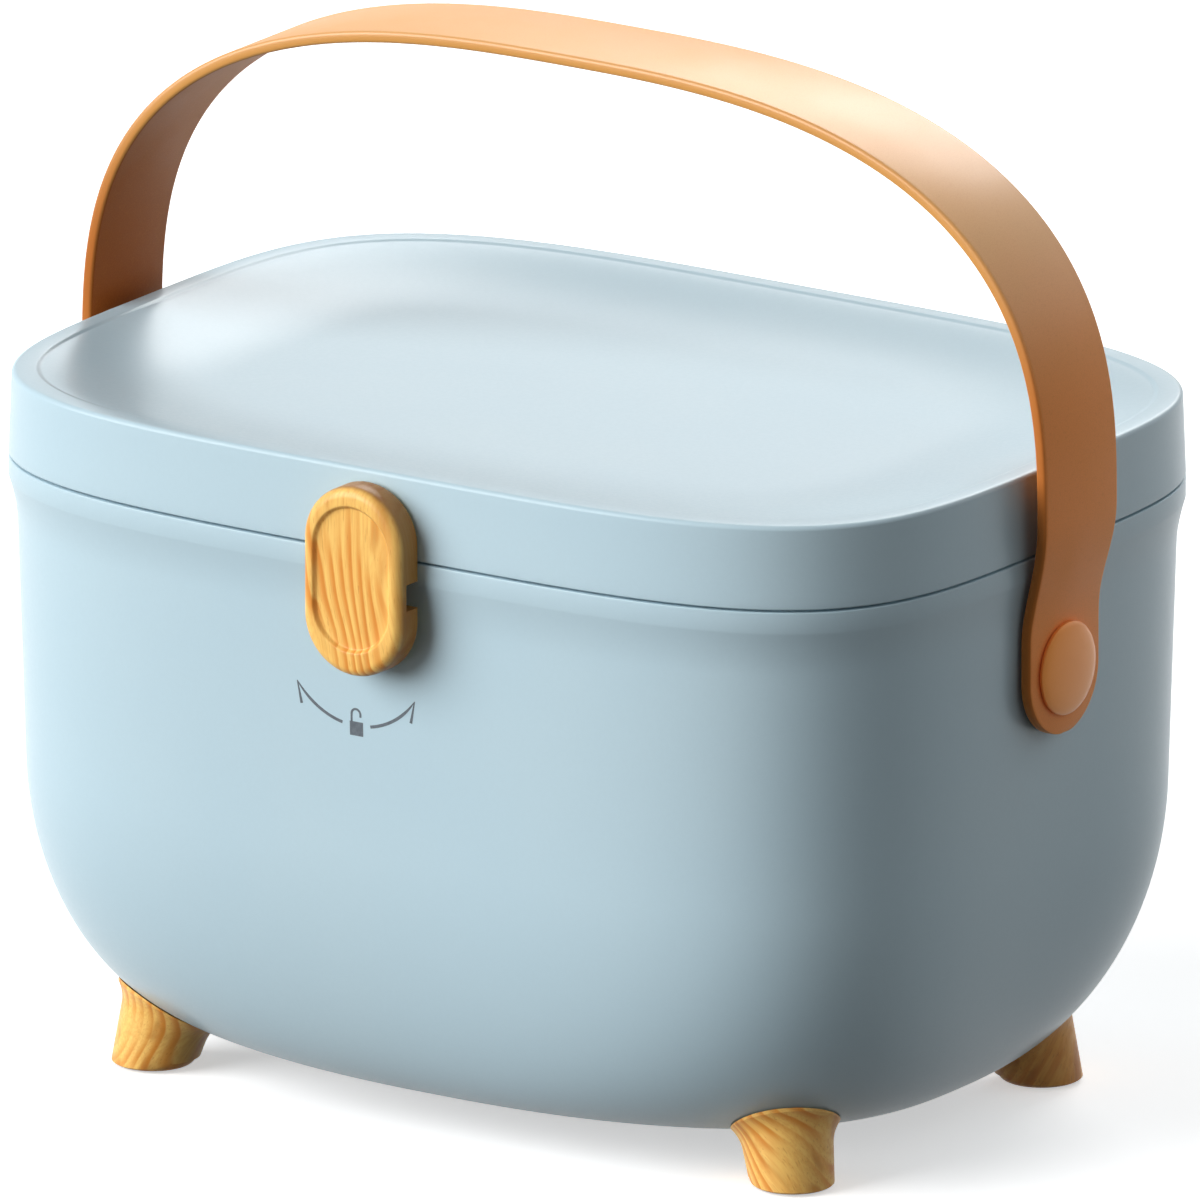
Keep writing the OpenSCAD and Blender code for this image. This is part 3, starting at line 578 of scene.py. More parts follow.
@dataclass(frozen=True)
class Sizes:
    """Sizes of the box in millimetres, with the rules that follow from them."""

    lid_w: float = 270.0
    lid_d: float = 197.0
    body_h: float = 177.0
    wall: float = 2.4
    outline_n: float = 4.07
    skirt_h: float = 20.9
    skirt_flare: float = 0.65
    rim_w: float = 5.0
    rim_step: float = 0.45
    rim_step_w: float = 1.6
    rim_r: float = 1.2
    dish_depth: float = 5.5
    dish_run: float = 40.0
    dish_lead: float = 0.65
    parting_gap: float = 0.6
    open_angle: float = 105.0
    collar_h: float = 5.1
    collar_step: float = 1.6
    collar_blend: float = 12.0
    wall_draft: float = 1.5
    ground_gap: float = 10.0
    round_rise: float = 68.0
    round_run_x: float = 34.0
    round_run_y: float = 29.0
    floor_n: float = 2.1
    lip_h: float = 2.5
    lip_t: float = 1.8
    lip_gap: float = 0.5
    foot_inset_x: float = 40.4
    foot_inset_y: float = 43.5
    foot_r: float = 10.3
    foot_lean: float = 15.0
    foot_taper: float = 0.09
    foot_edge_r: float = 2.0
    foot_lip_w: float = 1.8
    pad_r: float = 7.0
    pad_t: float = 1.4
    pad_proud: float = 0.4
    screw_r: float = 1.7
    screw_l: float = 13.0
    screw_head_r: float = 3.8
    pivot_drop: float = 51.5
    back_washer_r: float = 8.5
    post_r: float = 3.0
    latch_drop: float = 13.5
    latch_pivot_r: float = 4.5
    latch_washer_r: float = 6.0
    latch_pad_t: float = 0.8
    knob_gap: float = 0.45
    catch_w: float = 7.0
    catch_h: float = 4.2
    catch_reach: float = 4.2
    hinge_x: float = 45.0
    lid_knuckle_w: float = 10.0
    tub_knuckle_w: float = 6.0
    knuckle_r: float = 4.0
    hinge_pin_r: float = 1.5
    hinge_drop: float = 2.3
    tray_h: float = 32.0
    tray_wall: float = 1.8
    tray_gap: float = 0.8
    flange_w: float = 4.0
    tray_drop: float = 3.2
    tray_round: float = 5.0
    long_rib_y: float = 14.0
    divider_x: float = 42.0
    divider_t: float = 1.6
    guide_reach: float = 2.0
    rest_x: float = 70.0
    rest_w: float = 3.0
    rest_h: float = 30.0
    run_fit: float = 0.05
    pin_fit: float = 0.02
    seat_gap: float = 0.25
    side_play: float = 0.3
    stop_gap: float = 0.3
    screw_play: float = 0.35
    pad_rise: float = 0.35
    boss_rise: float = 2.6
    edge_break: float = 0.4
    web_step: float = 0.4
    web_h: float = 8.0
    columns: int = 384

    @property
    def part_z(self) -> float:
        """Height of the lid's lower edge."""
        return self.body_h - self.skirt_h

    @property
    def collar_z(self) -> float:
        """Height of the collar's top."""
        return self.part_z - self.parting_gap

    @property
    def collar_low_z(self) -> float:
        """Height of the collar's lower edge."""
        return self.collar_z - self.collar_h

    @property
    def pivot_z(self) -> float:
        """Height of the rivets."""
        return self.body_h - self.pivot_drop

    @property
    def latch_z(self) -> float:
        """Height of the knob's pivot."""
        return self.body_h - self.latch_drop

    @property
    def edge_a(self) -> float:
        """Half width at the skirt's lower edge."""
        return self.lid_w / 2 + self.skirt_flare

    @property
    def edge_b(self) -> float:
        """Half depth at the skirt's lower edge."""
        return self.lid_d / 2 + self.skirt_flare

    @property
    def hinge_at(self) -> tuple[float, float]:
        """Depth and height of the hinge's axis."""
        return self.edge_b + self.knuckle_r + self.parting_gap, self.part_z - self.hinge_drop

    @property
    def wall_a(self) -> float:
        """Half width of the wall at the rivets."""
        return self.edge_a - self.wall_inset(self.pivot_z)

    @property
    def foot_at(self) -> tuple[float, float]:
        """Place of the rear right foot."""
        return self.lid_w / 2 - self.foot_inset_x, self.lid_d / 2 - self.foot_inset_y

    @property
    def latch_in_b(self) -> float:
        """Depth of the inner face behind the knob's pivot."""
        lean = self.skirt_flare * (self.latch_z - self.part_z) / self.skirt_h
        return self.edge_b - lean - self.wall - self.latch_pad_t

    @property
    def knob_back_b(self) -> float:
        """Depth of the knob's back."""
        return self.edge_b + self.knob_gap

    @property
    def catch_mid_z(self) -> float:
        """Height of the catch's middle."""
        return self.collar_low_z - self.knob_gap / 2 - self.catch_h / 2

    @property
    def tray_half(self) -> tuple[float, float]:
        """Half width and half depth of the tray's wall at its top."""
        inset = self.wall + self.lip_gap + self.lip_t + self.tray_gap + self.flange_w
        return self.edge_a - inset, self.edge_b - inset

    @property
    def boss_top(self) -> float:
        """Distance along a foot's axis from the floor to the top of the boss over it."""
        return self.foot_seat() + self.wall + self.boss_rise

    def wall_inset(self, z: float | Array) -> float | Array:
        """Return how far the wall stands in from the skirt's edge at height z."""
        return self.collar_step + math.tan(math.radians(self.wall_draft)) * (self.collar_low_z - z)

    def turns(self) -> Array:
        """Return the angles of the outline's points, four mirrored quarters, spaced so that the
        points lie evenly along it."""
        t = np.pi / 4 * (1 - np.cos(np.pi * np.linspace(0, 1, 4001)))
        power = 2 / self.outline_n
        x, y = self.edge_a * np.cos(t) ** power, self.edge_b * np.sin(t) ** power
        run = np.concatenate([[0], np.cumsum(np.hypot(np.diff(x), np.diff(y)))])
        quarter = np.interp(np.linspace(0, run[-1], self.columns // 4 + 1), run, t)
        front, back = quarter[:-1], quarter[:0:-1]
        return np.concatenate([front, np.pi - back, np.pi + front, 2 * np.pi - back])

    def ring(self, z: float, a: float, b: float, n: float) -> Array:
        """Points of a rounded oblong, x = a |cos t|^(2/n) and y = b |sin t|^(2/n), each with
        the sign of its cosine or sine.

        Args:
            z: height.
            a: half width.
            b: half depth.
            n: squareness, 2 is an ellipse.

        Returns:
            The points, one row each.
        """
        t = self.turns()
        c, s = np.cos(t), np.sin(t)
        x = a * np.sign(c) * np.abs(c) ** (2 / n)
        y = b * np.sign(s) * np.abs(s) ** (2 / n)
        return np.stack([x, y, np.full_like(x, z)], -1)

    def section(self, z: float, inset: float) -> Array:
        """Return the outline at height z, drawn in from the skirt's lower edge."""
        return self.ring(z, self.edge_a - inset, self.edge_b - inset, self.outline_n)

    def bend(self, inset: float, z: float, r: float, a0: float, a1: float, steps: int) -> list[Array]:
        """Return the outlines of a rounded edge, an arc about a middle at an inset and a height."""
        return [self.section(h, i) for i, h in arc((inset, z), r, a0, a1, steps)]

    def plan(self, z: float | Array, k: float | Array, inset: float = 0.0) -> tuple:
        """Return half width, half depth and squareness of the rounded bottom at height z, where
        it has come the share k of the way in from the wall."""
        side = self.wall_inset(z) + inset * (1 - k / 2)
        return (self.edge_a - side - self.round_run_x * k, self.edge_b - side - self.round_run_y * k,
                self.outline_n + (self.floor_n - self.outline_n) * k)

    def round_size(self, turn: float, inset: float) -> tuple[float, float, float, float]:
        """Rule of the rounded bottom: a quarter ellipse in height and inset, while the plan
        grows from the floor's oval to the wall's outline.

        Args:
            turn: 90 at the flat bottom and 0 at the wall, in degrees.
            inset: how far the surface is drawn in, square to itself.

        Returns:
            Height, half width, half depth and squareness.
        """
        u = math.radians(turn)
        z = self.ground_gap + self.round_rise * (1 - math.sin(u))
        return (z + inset * math.sin(u), *self.plan(z, 1 - math.cos(u), inset))

    def round_rings(self, inset: float, steps: int = 36) -> list[Array]:
        """Return the rings of the rounded bottom, from the flat bottom up."""
        return [self.ring(*self.round_size(turn, inset)) for turn in np.linspace(90, 0, steps + 1)]

    def core(self, inset: float) -> Shape:
        """Return the tub's lower half as a solid, drawn in by inset."""
        z = self.ground_gap + self.round_rise + 2 * self.foot_r
        return loft([*self.round_rings(inset, 48), self.section(z, self.wall_inset(z) + inset)])

    def depth_at(self, a: float | Array, b: float | Array, x: float | Array) -> float | Array:
        """Return the half depth of an outline of half sizes a and b at a distance x."""
        return b * (1 - (abs(x) / a) ** self.outline_n) ** (1 / self.outline_n)

    def straight(self, z0: float, inset0: float, z1: float, inset1: float, steps: int) -> list[Array]:
        """Return the rings of a straight wall between two heights and insets, without its ends."""
        shares = np.linspace(0, 1, steps + 1)[1:-1]
        return [self.section(z0 + (z1 - z0) * k, inset0 + (inset1 - inset0) * k) for k in shares]

    def latch_axes(self, b: float) -> Place:
        """Return the place and axes at the knob's pivot, z towards the front."""
        return (0.0, -b, self.latch_z), AHEAD

    def rivet_axes(self, side: int) -> Place:
        """Return the place and axes at a rivet, z outwards."""
        return (0.0, 0.0, self.pivot_z), np.array([[0, 0, -side], [0, 1, 0], [side, 0, 0]])

    def foot_axes(self, sx: int, sy: int) -> Place:
        """Place and axes of a leaning foot.

        Args:
            sx: -1 for left, 1 for right.
            sy: -1 for front, 1 for rear.

        Returns:
            Its place on the floor and its axes, z up along the foot.
        """
        x, y = self.foot_at
        turn, lean = math.atan2(sy * y, sx * x), math.radians(self.foot_lean)
        out = np.array([math.cos(turn), math.sin(turn), 0])
        across, up = np.array([-math.sin(turn), math.cos(turn), 0]), np.array([0, 0, 1.0])
        tilted = math.cos(lean) * out + math.sin(lean) * up
        along = math.cos(lean) * up - math.sin(lean) * out
        return (sx * x, sy * y, 0.0), np.array([tilted, across, along])

    def foot_seat(self) -> float:
        """Return the distance along a foot's axis from the floor to the tub, found by halving."""
        x, y = self.foot_at
        turn, lean = math.atan2(y, x), math.tan(math.radians(self.foot_lean))
        low, high = 0.0, 90.0
        for _ in range(24):
            mid = (low + high) / 2
            z, a, b, n = self.round_size(mid, 0)
            from_x, from_y = x - z * lean * math.cos(turn), y - z * lean * math.sin(turn)
            inside = (from_x / a) ** n + (from_y / b) ** n < 1
            low, high = (mid, high) if inside else (low, mid)
        return self.round_size(low, 0)[0] / math.cos(math.radians(self.foot_lean))


# Pieces


@dataclass
class Hinge:
    """Knuckles, webs and stops of the two hinges."""

    sizes: Sizes
    root_share: float = 0.53
    soft: float = 0.35

    @property
    def reach(self) -> float:
        """Distance from the hinge's axis to the skirt's edge."""
        return self.sizes.hinge_at[0] - self.sizes.edge_b

    def ear(self, x: float, w: float, outline: Profile) -> list[Shape]:
        """Return a knuckle about the axis, centred on x, and its web, a little narrower, whose
        outline is measured from the axis."""
        y, z = self.sizes.hinge_at
        half = w / 2 - self.sizes.web_step
        knuckle = drum(self.sizes.knuckle_r, -w / 2, w / 2, self.soft, 64).placed((x, y, z), ALONG_X)
        return [knuckle, prism([(y + p, z + q) for p, q in outline], x - half, x + half)]

    def bores(self, r: float) -> list[Shape]:
        """Return the two bores for the pins."""
        s = self.sizes
        run = s.lid_knuckle_w + 2 * (s.tub_knuckle_w + s.side_play) + 2
        return [rod(r, -run / 2, run / 2).placed((side * s.hinge_x, *s.hinge_at), ALONG_X) for side in SIDES]

    def tub_solids(self) -> list[Shape]:
        """Return the outer knuckles and their webs."""
        s = self.sizes
        root = s.knuckle_r * self.root_share
        low = -(s.hinge_at[1] - s.collar_low_z + s.web_h)
        wall = -(self.reach + s.collar_step + s.wall * 0.4)
        outline = [(0, 0), (-root, root * 0.4), (wall, root * 0.4), (wall, low), (wall + s.wall * 0.6, low),
                   (root, -root)]
        out = s.lid_knuckle_w / 2 + s.side_play + s.tub_knuckle_w / 2
        ears = [self.ear(side * s.hinge_x + k * out, s.tub_knuckle_w, outline) for side, k in SIGNS]
        return sum(ears, [])

    def lid_solids(self) -> list[Shape]:
        """Return the middle knuckles, their webs and the stops that meet the collar."""
        s = self.sizes
        root = s.knuckle_r * self.root_share
        wall = -(self.reach + s.wall * 0.6)
        outline = [(0, 0), (root, root), (wall, s.hinge_drop + s.web_h), (wall, s.hinge_drop + 1)]
        turn, nose = math.radians(s.open_angle), s.lid_knuckle_w / 2 - 2 * s.web_step
        stop = block((-nose, -(self.reach - s.stop_gap), -s.knuckle_r - 1), (nose, 0, 0))
        c, v = math.cos(turn), math.sin(turn)
        axes = np.array([[1, 0, 0], [0, c, v], [0, -v, c]])
        made = []
        for side in SIDES:
            x = side * s.hinge_x
            made += [*self.ear(x, s.lid_knuckle_w, outline), stop.placed((x, *s.hinge_at), axes)]
        return made


@dataclass
class Tub:
    """The tub's moulding with its catch, knuckles, pads, rests and bosses."""

    sizes: Sizes
    hinge: Hinge
    edge_steps: int = 5
    step_rings: int = 18
    wall_rings: int = 14
    pad_soft: float = 0.15

    def shell(self) -> Shape:
        """Return the closed shell: rings up the outside, over the collar and its lip, and down
        the inside."""
        s = self.sizes
        blend_z, wall_z = s.collar_low_z - s.collar_blend, s.ground_gap + s.round_rise
        blend, low, soft = s.wall_inset(blend_z), s.wall_inset(wall_z), s.edge_break
        rings = s.round_rings(0) + s.straight(wall_z, low, blend_z, blend, self.wall_rings)
        for k in np.linspace(0, 1, self.step_rings + 1):
            z = s.collar_low_z - s.collar_blend * (1 - k)
            rings.append(s.section(z, s.wall_inset(z) * (1 - k * k)))
        rings += s.bend(soft, s.collar_z - soft, soft, 180, 90, self.edge_steps)
        out, top, cut = s.wall + s.lip_gap, s.collar_z + s.lip_h, s.edge_break * 0.75
        rim = [(s.collar_z, out), (top - cut, out), (top, out + cut), (top, out + s.lip_t - cut),
               (top - cut, out + s.lip_t), (s.collar_z, out + s.lip_t), (blend_z, blend + s.wall)]
        rings += [s.section(z, inset) for z, inset in rim]
        rings += s.straight(blend_z, blend + s.wall, wall_z, low + s.wall, self.wall_rings)
        return loft(rings + s.round_rings(s.wall)[::-1])

    def catch(self) -> Shape:
        """Return the catch, a stadium section carried out from the wall with a softened end."""
        s = self.sizes
        root, end = s.edge_b - s.wall_inset(s.catch_mid_z) - s.wall / 2, s.knob_back_b + s.catch_reach
        half, r, soft = (s.catch_w - s.catch_h) / 2, s.catch_h / 2, s.edge_break
        t = np.linspace(0, 2 * np.pi, 48, endpoint=False)
        shift = half * np.where(np.cos(t) >= 0, 1.0, -1.0)
        steps = [(0, soft), (soft * 0.3, soft * 0.3), (soft, 0), (end - root, 0)]
        rings = [np.stack([shift + (r - edge) * np.cos(t), (r - edge) * np.sin(t), np.full_like(t, -h)], -1)
                 for h, edge in steps]
        return loft(rings).placed((0, -end, s.catch_mid_z), AHEAD)

    def rests(self) -> list[Shape]:
        """Return the wedges under the tray's flange."""
        s = self.sizes
        rest_z = s.collar_z - s.tray_drop - s.tray_wall
        tip = s.depth_at(*s.tray_half, s.rest_x) + 2 * s.seat_gap
        root = s.depth_at(s.edge_a, s.edge_b, s.rest_x) - s.wall_inset(rest_z) - s.wall / 2
        low = root - math.tan(math.radians(s.wall_draft)) * s.rest_h
        outline = [(tip, rest_z), (root, rest_z), (low, rest_z - s.rest_h), (tip, rest_z - s.rest_w)]
        half = s.rest_w / 2
        return [prism([(sy * y, z) for y, z in outline], sx * s.rest_x - half, sx * s.rest_x + half)
                for sx, sy in SIGNS]

    def bosses(self) -> list[Object]:
        """Return the round bosses over the feet, kept within the tub's skin."""
        s = self.sizes
        top, r = s.boss_top, s.screw_head_r + s.boss_rise / 2
        profile = [(r, s.foot_seat() - s.screw_head_r), (r, top - 0.4), (r - 0.4, top)]
        made = [to_object("boss", lathe(profile).placed(*s.foot_axes(*signs))) for signs in CORNERS.values()]
        for boss in made:
            combine(boss, [s.core(s.wall * 0.4)], Cut.KEEP)
        return made

    def holes(self) -> list[Shape]:
        """Return the bores for rivets, pins and screws, and the break in the lip."""
        s = self.sizes
        post = rod(s.post_r + s.run_fit, s.wall_a - s.wall - s.pad_rise - 1, s.wall_a + s.pad_rise + 1, 64)
        screw = rod(s.screw_r + s.screw_play, s.boss_top - s.screw_l, s.boss_top + s.screw_l)
        half, y = s.latch_washer_r + s.lip_t, s.wall + s.lip_gap - s.edge_b
        lip = block((-half, y - 1, s.collar_z), (half, y + s.lip_t + 1, s.collar_z + s.lip_h + 1))
        return [*(post.placed(*s.rivet_axes(side)) for side in SIDES),
                *self.hinge.bores(s.hinge_pin_r + s.pin_fit),
                *(screw.placed(*s.foot_axes(*signs)) for signs in CORNERS.values()), lip]

    def build(self, finish: Material) -> None:
        """Build the moulding with the round pads under the strap's washers, and dress it."""
        s = self.sizes
        piece = to_object("tub_moulding", self.shell())
        bosses = self.bosses()
        pad = drum(s.back_washer_r + s.pad_rise, s.wall_a - s.wall - s.pad_rise, s.wall_a + s.pad_rise,
                   self.pad_soft)
        pads = [pad.placed(*s.rivet_axes(side)) for side in SIDES]
        combine(piece, [*pads, self.catch(), *self.hinge.tub_solids(), *self.rests()], Cut.ADD)
        for boss in bosses:
            points = np.array([v.co for v in boss.data.vertices]) / MM
            combine(piece, [Shape(points, [tuple(p.vertices) for p in boss.data.polygons])], Cut.ADD)
            drop(boss)
        combine(piece, self.holes(), Cut.TAKE)
        settle(piece, Body.TUB, Slot.BODY, finish, ["tub"])


@dataclass
class Lid:
    """The lid's moulding: dished top, rim, skirt, knuckles and stops."""

    sizes: Sizes
    hinge: Hinge
    dish_rings: int = 48
    rim_rings: int = 12
    crest_rings: int = 8

    def dish(self, k: float, drop_by: float) -> Array:
        """Return the ring of the dished top at share k of its run, steepest in the outer third."""
        s = self.sizes
        fall = s.rim_step + (s.dish_depth - s.rim_step) * float(ease(k ** s.dish_lead))
        return s.section(s.body_h - drop_by - fall, s.skirt_flare + s.rim_w + s.rim_step_w + s.dish_run * k)

    def crest(self) -> list[Array]:
        """Return the rings of the small step from the flat rim down to the dish, half a cosine
        wave with its upper turn drawn out."""
        s = self.sizes
        return [s.section(s.body_h - s.rim_step * float(ease(k ** 0.8)),
                          s.skirt_flare + s.rim_w + s.rim_step_w * k)
                for k in np.linspace(0, 1, self.crest_rings + 1)[:-1]]

    def shell(self) -> Shape:
        """Return the closed shell: rings out along the underside, down inside the skirt, up its
        outside, over the rim and in along the dish."""
        s = self.sizes
        shares = np.linspace(0, 1, self.dish_rings + 1)
        corner, low, flare = s.wall / 2, s.edge_break, s.skirt_flare
        turn_z, rim_z = s.body_h - s.wall - corner, s.body_h - s.rim_r
        rings = [self.dish(k, s.wall) for k in shares[::-1]]
        rings += s.bend(flare + s.wall + corner, turn_z, corner, 90, 180, 6)
        rings += s.straight(turn_z, flare + s.wall, s.part_z, s.wall, 6)
        rings.append(s.section(s.part_z, s.wall))
        rings += s.bend(low, s.part_z + low, low, 270, 180, 5)
        rings += s.straight(s.part_z + low, 0, rim_z, flare, 8)
        rings += s.bend(flare + s.rim_r, rim_z, s.rim_r, 180, 90, self.rim_rings)
        return loft([*rings, *self.crest(), *(self.dish(k, 0) for k in shares)])

    def build(self, finish: Material) -> None:
        """Build the moulding and dress it."""
        s = self.sizes
        piece, axes = to_object("lid_moulding", self.shell()), s.latch_axes(s.latch_in_b)
        r = s.latch_washer_r + s.latch_pad_t
        pad = lathe([(r - 0.2, 0), (r, 0.2), (r, s.wall)]).placed(*axes)
        combine(piece, [*self.hinge.lid_solids(), pad], Cut.ADD)
        bore = rod(s.latch_pivot_r + s.run_fit, -1, s.wall + s.latch_pad_t + 1, 64).placed(*axes)
        combine(piece, [*self.hinge.bores(s.hinge_pin_r + s.run_fit), bore], Cut.TAKE)
        settle(piece, Body.LID, Slot.BODY, finish, ["lid"])


@dataclass
class Knob:
    """The turning latch knob: an oblong block with a soft border, a sunk face and a grooved back."""

    sizes: Sizes
    width: float = 29.0
    length: float = 47.8
    thick: float = 8.1
    drop: float = 2.7
    back_edge: float = 0.4
    edge_r: float = 2.6
    border: float = 3.0
    border_top: float = 4.3
    border_low: float = 5.9
    recess: float = 1.0
    recess_run: float = 1.2
    slot_depth: float = 5.1
    notch_h: float = 6.7
    catch_play: float = 0.6
    turn: float = 25.0
    screw_r: float = 1.5
    screw_l: float = 9.0
    washer_t: float = 1.0
    half_columns: int = 96
    side_columns: int = 15

    def oblong(self, r: float, top_y: float, run: float, h: float) -> Array:
        """Ring of an oblong with round ends: a half circle above, a straight run and a half
        circle below.

        Args:
            r: radius of the ends.
            top_y: height of the upper end's middle.
            run: distance between the two middles.
            h: height of the points off the back.

        Returns:
            The points, one row each.
        """
        t, low_y = np.linspace(0, np.pi, self.half_columns + 1), top_y - run
        k, side = np.linspace(0, 1, self.side_columns + 2)[1:-1], np.full(self.side_columns, r)
        x = np.concatenate([r * np.cos(t), -side, r * np.cos(t + np.pi), side])
        y = np.concatenate([top_y + r * np.sin(t), top_y - run * k, low_y + r * np.sin(t + np.pi),
                            low_y + run * k])
        return np.stack([x, y, np.full_like(x, h)], -1)

    def body(self) -> Shape:
        """Return the closed block: rings up the side, over the round front edge and the crown
        of the border, and down a soft slope into the sunk face."""
        r, inner_r = self.width / 2, self.width / 2 - self.border
        top = self.sizes.latch_drop - self.drop
        outer = (top - r, self.length - self.width)
        inner = (top - self.border_top - inner_r,
                 self.length - self.border_top - self.border_low - 2 * inner_r)
        back, edge, thick = self.back_edge, self.edge_r, self.thick
        sides = [(back, 0), (back * 0.3, back * 0.3), (0, back)]
        sides += [(0, h) for h in np.linspace(back, thick - edge, 6)[1:-1]]
        sides += arc((edge, thick - edge), edge, 180, 96, 14)
        rings = [self.oblong(r - e, *outer, h) for e, h in sides]
        crown, lip = self.oblong(r - edge * 0.9, *outer, thick), self.oblong(inner_r, *inner, thick)
        rings += [crown + (lip - crown) * k for k in (0.25, 0.5, 0.75)]
        rings += [self.oblong(inner_r - self.recess_run * k, *inner, thick - self.recess * float(ease(k)))
                  for k in np.linspace(0, 1, 13)]
        rings += [self.oblong((inner_r - self.recess_run) * share, *inner, thick - self.recess)
                  for share in (0.8, 0.55, 0.3)]
        return loft(rings)

    def cutters(self) -> list[Shape]:
        """Return the arc that the catch runs along, a square section carried round the pivot,
        the straight way out to both sides and the way down."""
        s = self.sizes
        mid = s.latch_z - s.catch_mid_z
        near, far = mid - s.catch_h / 2, math.hypot((s.catch_w - s.catch_h) / 2, mid) + s.catch_h / 2
        spread = math.radians(self.turn) + math.asin((s.catch_w / 2 + self.catch_play) / near)
        r0, r1, deep = near - self.catch_play, far + self.catch_play, self.slot_depth
        corners = [(r0, -1.0), (r1, -1.0), (r1, deep), (r0, deep)]
        groove = loft([[(r * math.cos(a), r * math.sin(a), h) for r, h in corners]
                       for a in np.linspace(-RIGHT - spread, -RIGHT + spread, 65)])
        half, rise = s.catch_w / 2 + self.catch_play, self.notch_h / 2
        sides = block((-self.width, -mid - rise, -1), (self.width, -mid + rise, deep))
        return [groove, sides, block((-half, -self.length, -1), (half, -mid, deep))]

    def build(self, finish: Material) -> None:
        """Build the knob with its pivot boss and dress it."""
        s = self.sizes
        axes, r = s.latch_axes(s.knob_back_b), s.latch_pivot_r
        end = s.knob_back_b - s.latch_in_b + s.side_play / 2
        piece = to_object("knob_block", self.body().placed(*axes))
        boss = lathe([(r - 0.3, -end), (r, -end + 0.3), (r, 1)], 64)
        combine(piece, [boss.placed(*axes)], Cut.ADD)
        bore = rod(self.screw_r + s.pin_fit, -end - 1, -end + self.screw_l - self.washer_t + 0.5)
        combine(piece, [cutter.placed(*axes) for cutter in (*self.cutters(), bore)], Cut.TAKE)
        settle(piece, Body.KNOB, Slot.WOOD, finish, ["latch_knob"])


